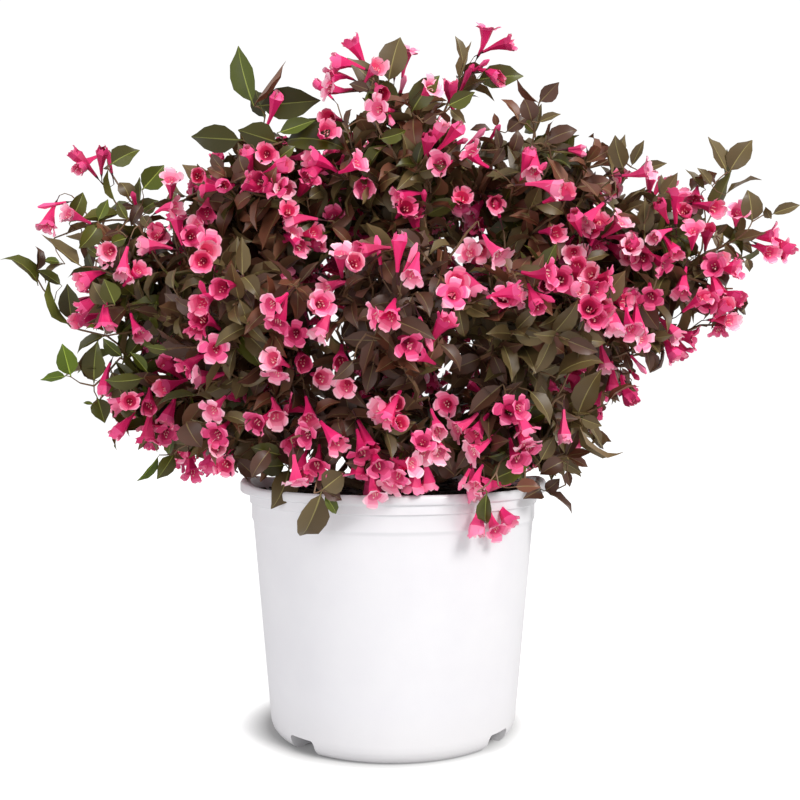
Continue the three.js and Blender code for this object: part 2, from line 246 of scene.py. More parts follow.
class Finish(Nodes):
    """A material built up from noise on the piece's own coordinates."""

    def __init__(self, name):
        self.material = bpy.data.materials.new(name)
        super().__init__(self.material)
        self.shader = self.tree.nodes["Principled BSDF"]
        self.place = self.node("TexCoord").outputs["Object"]

    def noise(self, scale, detail, stretch=None, roughness=0.55):
        place = self.place
        if stretch:
            place = self.node("Mapping", Vector=place, Scale=stretch).outputs["Vector"]
        node = self.node("TexNoise", Vector=place, Scale=scale, Detail=detail, Roughness=roughness)
        return node.outputs["Fac"]

    def cells(self, scale, output):
        return self.node("TexVoronoi", Vector=self.place, Scale=scale).outputs[output]

    def height(self):
        return self.node("SeparateXYZ", Vector=self.place).outputs["Z"]

    def ramp(self, start, *stops):
        node = self.node("ValToRGB", Fac=start)
        while len(node.color_ramp.elements) < len(stops):
            node.color_ramp.elements.new(0.5)
        for element, (at, colour) in zip(node.color_ramp.elements, stops):
            element.position = at
            element.color = (*colour, 1)
        return node.outputs["Color"]

    def mix(self, share, first, second, kind="MIX"):
        node = self.node("Mix")
        node.data_type = "RGBA"
        node.blend_type = kind
        colours = [socket for socket in node.inputs if socket.type == "RGBA"]
        self.fill(node.inputs[0], share)
        for socket, value in zip(colours, (first, second)):
            self.fill(socket, (*value, 1) if isinstance(value, tuple) else value)
        return next(socket for socket in node.outputs if socket.type == "RGBA")

    def bump(self, start, depth, strength, **under):
        node = self.node("Bump", Height=start, Distance=depth, Strength=strength, **under)
        return node.outputs["Normal"]

    def finish(self, **inputs):
        """The material, with these values or outputs on its shader."""
        self.feed(self.shader, **inputs)
        return self.material


def paper_with_painted_shadow():
    """Glowing white paper, dimmed near the pot's foot into a painted shadow; it lights the plant a little."""
    finish = Finish("white paper with painted shadow")
    reach = finish.node("VectorMath")
    reach.operation = "DISTANCE"
    finish.fill(reach.inputs[0], finish.place)
    finish.fill(reach.inputs[1], Vector(PAINTED_SHADOW_CENTRE) * MM)
    far = (PAINTED_SHADOW_RADIUS + GLOW_REACH) * MM
    # How much the floor glows: less and less towards the pot's foot, which paints a contact shadow there.
    near = finish.span(reach.outputs["Value"], PAINTED_SHADOW_RADIUS * MM, far, PAINTED_SHADOW_GLOW, 1)
    glow = finish.node("Math")
    glow.operation = "MULTIPLY"
    finish.fill(glow.inputs[0], finish.lit_or_seen(*FLOOR_STRENGTHS))
    finish.fill(glow.inputs[1], near)
    return finish.finish(
        Emission_Strength=glow.outputs["Value"],
        Emission_Color=(1, 1, 1, 1),
        Base_Color=(FLOOR_GREY, FLOOR_GREY, FLOOR_GREY, 1),
        Roughness=0.9,
        Specular_IOR_Level=0,
    )


def pot_plastic():
    """White polyethylene with a satin skin, a faint mottle and dust low down."""
    finish = Finish("white polyethylene")
    whites = (0.3, (0.738, 0.731, 0.76)), (0.7, (0.763, 0.757, 0.781))
    mottle = finish.ramp(finish.noise(26, 3), *whites)
    dust_low = finish.span(finish.height(), 0.0, 0.05, 0.35, 0.0)
    dusty = finish.mix(dust_low, mottle, (0.69, 0.673, 0.663))
    rough = finish.span(finish.noise(40, 4), 0.3, 0.7, 0.32, 0.42)
    skin = finish.bump(finish.noise(700, 3), 0.00012, 0.35)
    wavy = finish.bump(finish.noise(9, 2), 0.0012, 0.25, Normal=skin)
    return finish.finish(Base_Color=dusty, Roughness=rough, Normal=wavy)


def shades(codes):
    """The stops of a ramp, from colours written as rrggbb by where they stand on it."""
    return [(at, linear(code)) for at, code in codes.items()]


def mix_bark():
    """Damp dark bark mix: chips of several browns with fine crumb between them."""
    finish = Finish("bark mix")
    browns = {0.1: "16100c", 0.45: "2b1f17", 0.75: "453224", 0.95: "5d4a38"}
    tone = finish.ramp(finish.cells(160, "Color"), *shades(browns))
    crumb = finish.mix(finish.noise(420, 6), tone, linear("120d0a"), "MULTIPLY")
    blended = finish.mix(0.35, tone, crumb)
    rough = finish.span(finish.noise(90, 4), 0.3, 0.7, 0.75, 0.98)
    relief = finish.bump(finish.noise(300, 8, roughness=0.7), 0.002, 0.8)
    return finish.finish(Base_Color=blended, Roughness=rough, Normal=relief)


def stem_bark():
    """Tan-brown bark, furrowed along the stem and flecked with pale spots."""
    finish = Finish("stem bark")
    browns = {0.25: "3f2d1f", 0.5: "6c5138", 0.78: "9a7d5c"}
    base = finish.ramp(finish.noise(60, 6, roughness=0.65), *shades(browns))
    fleck = finish.ramp(finish.cells(420, "Distance"), *shades({0.12: "b59c7c", 0.24: "6c5138"}))
    spotted = finish.mix(0.3, base, fleck)
    rough = finish.span(finish.noise(120, 4), 0.3, 0.7, 0.6, 0.9)
    furrows = finish.bump(finish.noise(260, 6, (1, 1, 0.25), 0.7), 0.0012, 0.9)
    return finish.finish(Base_Color=spotted, Roughness=rough, Normal=furrows)


# ---------- Working on a piece in edit mode ----------

PICK_BY = {"verts": "VERT", "edges": "EDGE", "faces": "FACE"}


def begin():
    bpy.ops.object.mode_set(mode="EDIT")
    bpy.ops.mesh.select_mode(type="VERT")
    bpy.ops.mesh.select_all(action="DESELECT")


def end():
    bpy.ops.object.mode_set(mode="OBJECT")


def in_hand():
    """The mesh that is being edited."""
    return bmesh.from_edit_mesh(bpy.context.object.data)


def pick(test, kind="verts"):
    """Picks the vertices, edges or faces that pass the test, and nothing else."""
    bpy.ops.mesh.select_mode(type=PICK_BY[kind])
    bpy.ops.mesh.select_all(action="DESELECT")
    for part in getattr(in_hand(), kind):
        if test(part):
            part.select_set(True)
    bmesh.update_edit_mesh(bpy.context.object.data)


def pick_all():
    bpy.ops.mesh.select_all(action="SELECT")


def middle(test):
    places = [vertex.co for vertex in in_hand().verts if test(vertex)]
    return sum(places, Vector()) / len(places)


def paint(zone):
    for face in in_hand().faces:
        if face.select:
            face.material_index = zone
    bmesh.update_edit_mesh(bpy.context.object.data)


def slide(x=0, y=0, z=0):
    bpy.ops.transform.translate(value=(x, y, z))


def swell(x, y, z, about=(0, 0, 0)):
    bpy.ops.transform.resize(value=(x, y, z), center_override=about)


def turn(degrees, axis, about=(0, 0, 0)):
    bpy.ops.transform.rotate(value=-math.radians(degrees), orient_axis=axis, center_override=about)


def pull_edges(z=0):
    bpy.ops.mesh.extrude_edges_move(TRANSFORM_OT_translate={"value": (0, 0, z)})


def outward():
    pick_all()
    bpy.ops.mesh.normals_make_consistent(inside=False)


def take(*pieces):
    """Selects these pieces and nothing else, the first one active."""
    bpy.ops.object.select_all(action="DESELECT")
    for piece in pieces:
        piece.select_set(True)
    bpy.context.view_layer.objects.active = pieces[0]


def round_smooth(piece, degrees):
    take(piece)
    bpy.ops.object.shade_smooth_by_angle(angle=math.radians(degrees))


def join(*pieces):
    """Joins these pieces into the first one."""
    take(*pieces)
    bpy.ops.object.join()


def finish_off(piece, finish, degrees):
    """Gives a piece one finish all over and smooth faces, with crisp edges past these degrees."""
    piece.data.materials.clear()
    piece.data.materials.append(finish)
    round_smooth(piece, degrees)


def apply_all(piece):
    take(piece)
    for modifier in list(piece.modifiers):
        bpy.ops.object.modifier_apply(modifier=modifier.name)


def roughen(piece, name, grain, detail, depth, level, direction="NORMAL", group=""):
    """Heaves a piece's surface, or a group of its points, by clouds of this grain."""
    clouds = bpy.data.textures.new(name, "CLOUDS")
    clouds.noise_scale = grain
    clouds.noise_depth = detail
    heave = piece.modifiers.new(name, "DISPLACE")
    heave.texture = clouds
    heave.direction = direction
    heave.strength = depth
    heave.mid_level = level
    heave.vertex_group = group
    apply_all(piece)


def settle(piece, slot, *nodes):
    """The piece rides on the one body and stands for these nodes, which it hides; the slot is not used."""
    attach(piece, "root")
    if nodes:
        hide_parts(*nodes)


# ---------- The pot ----------


def ringed(name, profile, sides):
    """A round body pulled up ring by ring from a filled circle, through pairs of radius and height,
    and closed at its last ring."""
    bpy.ops.object.select_all(action="DESELECT")
    radius, height = profile[0]
    foot = (0, 0, height * MM)
    bpy.ops.mesh.primitive_circle_add(vertices=sides, radius=radius * MM, fill_type="NGON", location=foot)
    piece = bpy.context.object
    piece.name = name
    bpy.ops.object.transform_apply(location=True)
    begin()
    pick(lambda edge: True, "edges")
    for new_radius, new_height in profile[1:]:
        pull_edges(z=(new_height - height) * MM)
        share = new_radius / radius
        swell(share, share, 1, (0, 0, new_height * MM))
        radius, height = new_radius, new_height
    bpy.ops.mesh.edge_face_add()
    outward()
    end()
    return piece


def quarter(start, finish, steps):
    """Points of a quarter round from one radius and height to another, leaving outwards first."""
    points = []
    for step in range(1, steps + 1):
        angle = math.pi / 2 * step / steps
        out = (finish[0] - start[0]) * math.sin(angle)
        rise = (finish[1] - start[1]) * (1 - math.cos(angle))
        points.append((start[0] + out, start[1] + rise))
    return points


def pot_outside():
    sole = [(FOOT_RADIUS * 0.6, SOLE_RISE), (FOOT_RADIUS - 6, SOLE_RISE)]
    foot = sole + [(FOOT_RADIUS - 5, 0), (FOOT_RADIUS, 0)]
    corner = quarter((FOOT_RADIUS, 0), (WALL_FOOT_RADIUS, CORNER_TOP), 5)
    taper = SHOULDER_RADIUS - WALL_FOOT_RADIUS
    rise = WALL_TOP - CORNER_TOP
    shares = (0.1, 0.3, 0.5, 0.7, 0.9, 0.99)
    wall = [(WALL_FOOT_RADIUS + taper * share, CORNER_TOP + rise * share) for share in shares]
    collar = [
        (SHOULDER_RADIUS + 0.5, 202),
        (COLLAR_RADIUS - 2.2, 203.2),
        (COLLAR_RADIUS - 2, 204.2),
        (COLLAR_RADIUS - 2, 216.5),
        (COLLAR_RADIUS - 1.6, 217.6),
        (COLLAR_RADIUS - 0.2, 218.6),
        (COLLAR_RADIUS, 219.6),
        (COLLAR_RADIUS, 225.9),
    ]
    lip = [
        (COLLAR_RADIUS + 0.6, 226.6),
        (LIP_RADIUS - 0.6, 227),
        (LIP_RADIUS, 228),
        (LIP_RADIUS, 232.4),
        (LIP_RADIUS - 0.7, 234),
        (LIP_RADIUS - 2, 234.9),
    ]
    return foot + corner + wall + collar + lip


def pot_inside():
    return [
        (LIP_RADIUS - 3.2, 234.9),
        (LIP_RADIUS - 4, 234.2),
        (LIP_RADIUS - 4.4, 232.6),
        (COLLAR_RADIUS - WALL - 2, 226),
        (SHOULDER_RADIUS - WALL, WALL_TOP),
        (WALL_FOOT_RADIUS - WALL, CORNER_TOP),
        (FOOT_RADIUS - 1, WALL + SOLE_RISE),
        (FOOT_RADIUS * 0.6, WALL + SOLE_RISE),
    ]


def swell_grips(piece):
    """The lip swells out and up into a grip on the left and on the right."""
    lip_foot = 226.5
    lip_breadth = 4.5
    for vertex in piece.data.vertices:
        place = vertex.co / MM
        share = (place.z - lip_foot) / (POT_HEIGHT - lip_foot)
        bearing = math.degrees(math.atan2(abs(place.y), abs(place.x)))
        if share <= 0 or bearing > GRIP_SPREAD:
            continue
        bulge = (1 + math.cos(math.pi * bearing / GRIP_SPREAD)) / 2
        radius = math.hypot(place.x, place.y)
        outer = min(1.0, max(0.0, radius - LIP_RADIUS + lip_breadth) / lip_breadth)
        reach = (radius + GRIP_REACH * bulge * outer) / radius
        place.x *= reach
        place.y *= reach
        place.z += GRIP_RISE * bulge * min(1.0, share)
        vertex.co = place * MM


def drain_bars(name, inner_radius, extra):
    """Four bars that run in through the wall at the foot, each with a rounded top."""
    bpy.ops.object.select_all(action="DESELECT")
    below = 5
    width = (DRAIN_WIDTH + 2 * extra) * MM
    height = (DRAIN_HEIGHT + extra + below) * MM
    depth = (LIP_RADIUS - inner_radius) * MM
    bpy.ops.mesh.primitive_cube_add(size=1)
    bars = bpy.context.object
    bars.name = name
    begin()
    pick_all()
    swell(width, depth, height)
    slide(0, -inner_radius * MM - depth / 2, height / 2 - below * MM)

    def along_top(edge):
        first, second = (vertex.co for vertex in edge.verts)
        return min(first.z, second.z) > 0 and abs(first.y - second.y) > depth / 2

    pick(along_top, "edges")
    bpy.ops.mesh.bevel(offset=(DRAIN_CORNER + extra) * MM, segments=5)
    pick_all()
    turn(DRAIN_BEARINGS[0], "Z")
    for last, bearing in zip(DRAIN_BEARINGS, DRAIN_BEARINGS[1:]):
        bpy.ops.mesh.duplicate()
        turn(bearing - last, "Z")
    end()
    return bars


def cut(piece, other, operation):
    modifier = piece.modifiers.new("cut", "BOOLEAN")
    modifier.operation = operation
    modifier.solver = "EXACT"
    modifier.object = other
    apply_all(piece)
    bpy.data.objects.remove(other)


def make_pot():
    pot = ringed("nursery_pot", pot_outside() + pot_inside(), POT_SIDES)
    swell_grips(pot)
    core_profile = [(FOOT_RADIUS - 1, 1), (WALL_FOOT_RADIUS - 1, 16.5), (WALL_FOOT_RADIUS, 30)]
    core = ringed("drain_core", core_profile, POT_SIDES)
    pockets = drain_bars("drain_pockets", DRAIN_INNER_RADIUS - WALL, WALL)
    cut(pockets, core, "INTERSECT")
    cut(pot, pockets, "UNION")
    cut(pot, drain_bars("drain_notches", DRAIN_INNER_RADIUS, 0), "DIFFERENCE")
    finish_off(pot, pot_plastic(), 32)
    settle(pot, "pot", "pot")


# ---------- Shapes that are modelled once and copied ----------


class Shape:
    """The points, faces and zones of a modelled piece, read off so that it can be copied."""

    def __init__(self, piece):
        mesh = piece.data
        self.points = np.array([vertex.co for vertex in mesh.vertices])
        self.corners = np.array([loop.vertex_index for loop in mesh.loops])
        self.sizes = np.array([face.loop_total for face in mesh.polygons])
        self.zones = np.array([face.material_index for face in mesh.polygons])
        bpy.data.objects.remove(piece)


class Spread:
    """Copies of shapes, joined into one piece."""

    def __init__(self, name):
        self.name = name
        self.points, self.corners, self.sizes, self.zones = [], [], [], []
        self.count = 0

    def add(self, shape, turned, place, first_zone=0):
        self.points.append(shape.points @ np.array(turned).T + np.array(place))
        self.corners.append(shape.corners + self.count)
        self.sizes.append(shape.sizes)
        self.zones.append(shape.zones + first_zone)
        self.count += len(shape.points)

    def make(self, finishes=()):
        points = np.concatenate(self.points)
        corners = np.concatenate(self.corners)
        sizes = np.concatenate(self.sizes)
        mesh = bpy.data.meshes.new(self.name)
        mesh.vertices.add(len(points))
        mesh.vertices.foreach_set("co", points.astype(np.float32).ravel())
        mesh.loops.add(len(corners))
        mesh.loops.foreach_set("vertex_index", corners.astype(np.int32))
        mesh.polygons.add(len(sizes))
        mesh.polygons.foreach_set("loop_start", (np.cumsum(sizes) - sizes).astype(np.int32))
        for finish in finishes:
            mesh.materials.append(finish)
        mesh.polygons.foreach_set("material_index", np.concatenate(self.zones).astype(np.int32))
        mesh.update(calc_edges=True)
        return placed(self.name, mesh)


CHIP_SIZE = (12, 5.5, 2.2)
CHIP_COUNT = 420
CHIP_FIELD = 130  # radius of the field that the chips lie on
CHIP_PILE = 4.5  # how high they lie above one another at most
CHIP_SIZES = (0.55, 1.5)
CHIP_ROLL = 0.5  # at most, and how much a chip tilts at most, both in radians
CHIP_TILT = 0.4


def modelled_chip():
    """A splinter of bark, narrower and lower at one end."""
    bpy.ops.object.select_all(action="DESELECT")
    bpy.ops.mesh.primitive_cube_add(size=1)
    chip = bpy.context.object
    begin()
    pick_all()
    swell(*(size * MM for size in CHIP_SIZE))
    pick(lambda v: v.co.x > 0)
    swell(1, 0.55, 0.6)
    slide(0, 1 * MM, 0.5 * MM)
    pick(lambda v: v.co.x < 0 and v.co.z > 0)
    slide(1.8 * MM, 0.6 * MM, 0)
    end()
    return Shape(chip)


def make_mix(rng):
    """The body of mix in the pot, mounded towards the stems, with bark chips lying on it."""
    foot = [(84, 4), (86, 4), (86, 20), (WALL_FOOT_RADIUS - WALL - 1.5, 22)]
    wall = [(SHOULDER_RADIUS - WALL - 1.2, 200), (COLLAR_RADIUS - WALL - 4, MIX_TOP - 2)]
    top = [(radius, MIX_TOP + 1 + (128 - radius) * 0.03) for radius in range(128, 3, -4)]
    body = ringed("bark_mix", foot + wall + top, 96)
    surface = body.vertex_groups.new(name="surface")
    surface.add([v.index for v in body.data.vertices if v.co.z > (MIX_TOP - 1) * MM], 1.0, "REPLACE")
    roughen(body, "crumb", 0.009, 3, 7 * MM, 0.6, "Z", "surface")

    chip = modelled_chip()
    chips = Spread("bark_chips")
    for _ in range(CHIP_COUNT):
        radius = CHIP_FIELD * math.sqrt(rng.uniform(0.05, 1.0))
        bearing = rng.uniform(0, 2 * math.pi)
        height = MIX_TOP + rng.uniform(0, CHIP_PILE)
        place = Vector((radius * math.cos(bearing), radius * math.sin(bearing), height))
        size = rng.uniform(*CHIP_SIZES)
        roll = Matrix.Rotation(rng.uniform(-CHIP_ROLL, CHIP_ROLL), 3, "X")
        tilt = roll @ Matrix.Rotation(rng.uniform(-CHIP_TILT, CHIP_TILT), 3, "Y")
        spin = Matrix.Rotation(rng.uniform(0, 2 * math.pi), 3, "Z")
        chips.add(chip, spin @ tilt @ Matrix.Diagonal((size, size, 1)), place * MM)
    join(body, chips.make())
    finish_off(body, mix_bark(), 40)
    settle(body, "potting_mix", "potting_mix")


# ---------- Leaves ----------

# Leaf zones: the two halves of the blade, the pale midrib and the underside.
LEFT, RIGHT, RIB, UNDER = range(4)
LEAF_ZONES = 4
LEAF_THICKNESS = 0.01  # as a share of the leaf's length

# How far along a leaf each row lies, and its half-width, as shares of its length.
LEAF_ROWS = (
    (0.0, 0.013),
    (0.085, 0.018),
    (0.17, 0.12),
    (0.33, 0.218),
    (0.52, 0.232),
    (0.71, 0.172),
    (0.88, 0.066),
    (1.0, 0.006),
)
RIB_HALF = 0.012  # half-width of the midrib near its foot, as a share of the leaf's length
RIB_MOST = 0.3  # the share of the leaf's breadth that it never passes

# fold, droop, twist, wave, breadth and extra bend of the tip for each modelled leaf
LEAF_HABITS = (
    (20, 4, 0, 0.012, 1.0, 4),
    (28, 6, 2, 0.010, 0.92, 7),
    (16, 8, -3, 0.016, 1.06, 5),
    (38, 3, 4, 0.008, 0.84, 9),
    (24, 10, -4, 0.012, 0.94, 6),
    (14, 1, 3, 0.016, 1.1, 2),
    (32, 12, 1, 0.014, 0.88, 10),
    (22, 5, -6, 0.020, 1.0, 12),
    (26, -2, 5, 0.014, 0.96, 4),
    (18, 14, 3, 0.012, 1.02, 8),
)


def row_of(vertex):
    return vertex.index // 4


def modelled_leaf(fold, droop, twist, wave, broad, tip_bend):
    """One leaf, 1 long along +Y, with its upper side up: a sheet of three strips by seven rows that is
    shaped row by row, then doubled and closed along its edge."""
    last = len(LEAF_ROWS) - 1
    bpy.ops.object.select_all(action="DESELECT")
    bpy.ops.mesh.primitive_grid_add(x_subdivisions=3, y_subdivisions=last, size=2)
    leaf = bpy.context.object
    begin()
    for row, (along, half) in enumerate(LEAF_ROWS):
        half *= broad if 1 < row < last else 1
        rib = min(RIB_HALF * (1.2 - along), half * RIB_MOST)
        for column, offset in enumerate((-half, -rib, rib, half)):
            pick(lambda v: v.index == row * 4 + column)
            slide(offset - (-1 + 2 * column / 3), along - (-1 + 2 * row / last))
    for side in (1, -1):
        pick(lambda v: v.co.x * side > 0)
        turn(-side * fold, "Y")
    for row in range(2, last):
        pick(lambda v: row_of(v) == row and v.index % 4 in (0, 3))
        slide(z=wave if row % 2 else -wave)
    for row in range(1, last):
        hinge = middle(lambda v: row_of(v) == row)
        pick(lambda v: row_of(v) > row)
        turn(-droop - (tip_bend if row > 4 else 0), "X", hinge)
        turn(twist, "Y", hinge)
    close_leaf()
    end()
    return Shape(leaf)


def close_leaf():
    """Paints the strips, then doubles the sheet into a thin closed blade with a paler underside."""
    for face in in_hand().faces:
        face.material_index = (LEFT, RIB, RIGHT)[face.index % 3]
    pick_all()
    bpy.ops.mesh.duplicate()
    bpy.ops.mesh.flip_normals()
    shape = in_hand()
    for face in shape.faces:
        if face.select and face.material_index != RIB:
            face.material_index = UNDER
    for vertex in shape.verts:
        if vertex.is_boundary:
            vertex.select_set(False)
    bmesh.update_edit_mesh(bpy.context.object.data)
    bpy.ops.transform.shrink_fatten(value=LEAF_THICKNESS)
    pick_all()
    bpy.ops.mesh.remove_doubles(threshold=1e-5)


# ---------- Flowers and buds ----------

# Flower zones: stalk and calyx, tube, back of a lobe, base, middle and rim of its face, the bell's
# lining, its throat, and the anthers.
CALYX, TUBE, LOBE_BACK, LOBE_BASE, LOBE_FACE, LOBE_RIM, LINING, THROAT, ANTHER = range(9)
FLOWER_ZONES = 9
LOBE_ZONES = (LOBE_BASE, LOBE_FACE, LOBE_RIM)
LOBES = 5
FIFTH = math.radians(180 / LOBES)  # half of one lobe's share of the flower
SAME = 0.01  # two places nearer than this are one

# in millimetres, as all of a flower's sizes
LOBE_ROUND = 0.8  # how much nearer the flower's axis a lobe's edges are than its middle
LOBE_OVERLAP = 0.4  # how far its left edge lies behind, and its right edge before
LOBE_STRAY = ((-2.2, 1.0), (-1.1, 1.1), (-2.2, 2.2))  # its tip's chance way out, across and up
BENDS_AT = (15, 23)  # the heights where the tube bends
LOBE_CREASE = Vector((-0.25, 0, 0.3))  # how far a lobe's face stands off its back along the middle
NECK_RADIUS = 2.7  # where the lining narrows
NECK_DEPTH = 6.5  # under the mouth
THROAT_DEPTH = 11
ANTHER_RING = 1.7  # radius of the ring of four anthers, and how far it lies behind the mouth's middle
ANTHER_DEPTH = 2.6
STIGMA = Vector((0, -2.6, -0.8))  # its place from the mouth's middle

# radius and height of the rings from the stalk's foot to the mouth
FLOWER_RINGS = ((0.45, 0), (0.42, 5), (1.3, 9), (1.9, 16), (3.6, 23), (5.7, 30.5))

# how far along a lobe each of its rows lies, and its half-breadth
LOBE_ROWS = ((0.36, 4.5), (0.78, 4.3), (1.0, 2.0))

# how far the lobes lean out at their base and tip, their length, breadth and cupping, and the tube's bend
OPEN_HABITS = (
    (24, 48, 6.8, 1.0, 1.4, 5),
    (36, 72, 6.6, 1.06, 1.0, -8),
    (12, 34, 7.2, 0.98, 1.7, 10),
    (40, 96, 6.8, 1.0, 0.4, 2),
    (44, 60, 6.6, 0.98, 1.4, 14),
    (4, 20, 7.0, 1.04, 1.6, -2),
    (28, 80, 6.8, 1.02, 0.8, -12),
    (30, 42, 7.2, 1.0, 1.8, 7),
)
HALF_OPEN_HABITS = (
    (4, -2, 6.4, 0.88, 1.0, 10),
    (-8, -20, 6.6, 0.78, 0.8, -5),
    (0, 22, 6.2, 0.84, 0.8, 5),
)


def put(index, place):
    """Moves one vertex of the piece in hand to a place."""
    pick(lambda vertex: vertex.index == index)
    slide(*(Vector(place) - middle(lambda vertex: vertex.index == index)))


def pick_between(*ends):
    """Picks the edges that join these vertices to one another."""
    pick(lambda edge: {vertex.index for vertex in edge.verts} <= set(ends), "edges")


def pull_row(zone, *places):
    """Pulls the picked edges out, lays their vertices at these places in order of y, and keeps the new
    edges picked."""
    pull_edges()
    fresh = sorted((vertex for vertex in in_hand().verts if vertex.select), key=lambda v: v.co.y)
    for vertex in fresh:
        for face in vertex.link_faces:
            face.material_index = zone
    row = [vertex.index for vertex in fresh]
    for index, place in zip(row, places):
        put(index, place)
    pick_between(*row)


def ring_row(radius, height):
    """The two ends of a fifth of a ring."""
    out, across = radius * math.cos(FIFTH), radius * math.sin(FIFTH)
    return (out, -across, height), (out, across, height)


def lobe_rows(lean, tip_lean, reach, broad, cup):
    """The rows of a lobe from the mouth to its tip, its left edge lying a little behind its right."""
    out, rise = FLOWER_RINGS[-1]
    rows = []
    before = 0
    for along, half in LOBE_ROWS:
        angle = math.radians(lean + (tip_lean - lean) * along)
        out += (along - before) * reach * math.sin(angle)
        rise += (along - before) * reach * math.cos(angle)
        edge = out - LOBE_ROUND
        side = half * broad
        rim = rise + cup
        left, right = (edge, -side, rim - LOBE_OVERLAP), (edge, side, rim + LOBE_OVERLAP)
        rows.append((left, (out, 0, rise), right))
        before = along
    return rows


def modelled_fifth(lean, tip_lean, reach, broad, cup):
    """A fifth of a flower: a strip from the stalk's foot to the mouth, a lobe with both its faces, and
    the throat's lining."""
    mouth_radius, mouth = FLOWER_RINGS[-1]
    for index, place in enumerate((*ring_row(*FLOWER_RINGS[0]), *ring_row(*FLOWER_RINGS[1]))):
        put(index, place)
    pick_between(2, 3)
    for number, ring in enumerate(FLOWER_RINGS[2:]):
        pull_row(TUBE if number else CALYX, *ring_row(*ring))
    bpy.ops.mesh.subdivide(number_cuts=1)
    brim = [v.index for v in in_hand().verts if abs(v.co.z - mouth) < SAME]
    crest = next(v.index for v in in_hand().verts if v.index in brim and abs(v.co.y) < SAME)
    put(crest, (mouth_radius, 0, mouth))
    pick_between(*brim)
    rows = lobe_rows(lean, tip_lean, reach, broad, cup)
    for row, zone in zip(rows, LOBE_ZONES):
        pull_row(zone, *row)

    if next(face for face in in_hand().faces if face.material_index == TUBE).normal.x < 0:
        pick_all()
        bpy.ops.mesh.flip_normals()
    pick(lambda face: face.material_index in LOBE_ZONES, "faces")
    bpy.ops.mesh.duplicate()
    bpy.ops.mesh.flip_normals()
    for face in in_hand().faces:
        if not face.select and face.material_index in LOBE_ZONES:
            face.material_index = LOBE_BACK
    seam = [Vector((mouth_radius, 0, mouth)), Vector(rows[0][1]), Vector(rows[1][1])]
    doubled = [v for v in in_hand().verts if v.select]
    crease = [v.index for v in doubled if any((v.co - place).length < SAME for place in seam)]
    pick(lambda vertex: vertex.index in crease)
    slide(*LOBE_CREASE)
    lip = seam[0] + LOBE_CREASE
    pick_all()
    bpy.ops.mesh.remove_doubles(threshold=0.001)
    pick(lambda e: e.is_boundary and any((v.co - lip).length < SAME for v in e.verts), "edges")
    neck = mouth - NECK_DEPTH
    sides = ring_row(NECK_RADIUS, neck)
    pull_row(LINING, sides[0], (NECK_RADIUS, 0, neck), sides[1])
    pull_row(THROAT, *[(0, 0, mouth - THROAT_DEPTH)] * 3)
    pick_all()
    bpy.ops.mesh.remove_doubles(threshold=0.001)


def add_cone(sides, radius, height, place):
    """A cone that stands for an anther or the stigma."""
    cone = {"vertices": sides, "radius1": radius, "radius2": 0, "depth": height}
    bpy.ops.mesh.primitive_cone_add(location=place, **cone)
    paint(ANTHER)


def modelled_flower(lean, tip_lean, reach, broad, cup, bend, rng):
    """One trumpet flower with its stalk's foot at the origin, facing +Z. It is modelled in
    millimetres, as a fifth that is turned round four times."""
    mouth = FLOWER_RINGS[-1][1]
    bpy.ops.object.select_all(action="DESELECT")
    bpy.ops.mesh.primitive_plane_add(size=1)
    flower = bpy.context.object
    begin()
    modelled_fifth(lean, tip_lean, reach, broad, cup)
    for _ in range(LOBES - 1):
        bpy.ops.mesh.duplicate()
        turn(360 / LOBES, "Z")
    pick_all()
    bpy.ops.mesh.remove_doubles(threshold=0.002)
    pick(lambda e: e.is_boundary and all(v.co.z < SAME for v in e.verts), "edges")
    bpy.ops.mesh.edge_face_add()
    for lobe in range(LOBES):
        bearing = math.radians(360 / LOBES * lobe)
        out = Vector((math.cos(bearing), math.sin(bearing), 0))
        across = Vector((-out.y, out.x, 0))
        pick(lambda v: v.co.z > mouth + 1.5 and v.co.dot(out) > v.co.xy.length * 0.8)
        strays = [way * rng.uniform(*span) for way, span in zip((out, across, UP), LOBE_STRAY)]
        slide(*sum(strays, Vector()))
    for height in BENDS_AT:
        pick(lambda v: v.co.z > height)
        turn(bend, "X", (0, 0, height))
    heart = middle(lambda v: v.co.z > mouth - 3)
    for anther in range(4):
        bearing = math.radians(40 + 90 * anther)
        way = Vector((math.cos(bearing), math.sin(bearing), 0))
        add_cone(3, 0.6, 2.8, heart + way * ANTHER_RING - UP * ANTHER_DEPTH)
    add_cone(4, 0.8, 1.4, heart + STIGMA)
    pick_all()
    swell(MM, MM, MM)
    end()
    return Shape(flower)


def modelled_bud(long):
    """A bud on its stalk, club-shaped, long times the usual length."""
    calyx = 10
    club = [(radius, calyx + height * long) for radius, height in ((1.6, 8), (2.8, 16), (0.9, 20.5))]
    bud = ringed("bud", [(0.5, 0), (0.45, 6), (1.3, calyx)] + club, LOBES)
    for polygon in bud.data.polygons:
        height = polygon.center.z / MM
        polygon.material_index = CALYX if height < 10.5 else TUBE if height < 21 else LOBE_BACK
    return Shape(bud)


# ---------- The crown's surface ----------


def tree_of(node):
    """A node's surface, to be asked what lies nearest or first on a line."""
    mesh = NODES[node].data
    return BVHTree.FromPolygons([v.co for v in mesh.vertices], [p.vertices for p in mesh.polygons])


def blend(*parts):
    """The way that other ways make together, given as pairs of a way and its share."""
    return sum((way * share for way, share in parts), Vector()).normalized()


def within(tree, point):
    """Whether a closed surface holds a point."""
    place, way, _, _ = tree.find_nearest(point)
    return (point - place).dot(way) < 0


def sight(across, down):
    """The way from the camera to a place in its view."""
    return Vector(((across - VIEW / 2) / VIEW_REACH, 1, (VIEW / 2 - down) / VIEW_REACH)).normalized()


def in_sight(point):
    """Where a point shows in the camera's view, across and down, and how far off it is."""
    gap = point - CAMERA_PLACE
    return VIEW / 2 + gap.x / gap.y * VIEW_REACH, VIEW / 2 - gap.z / gap.y * VIEW_REACH, gap.length


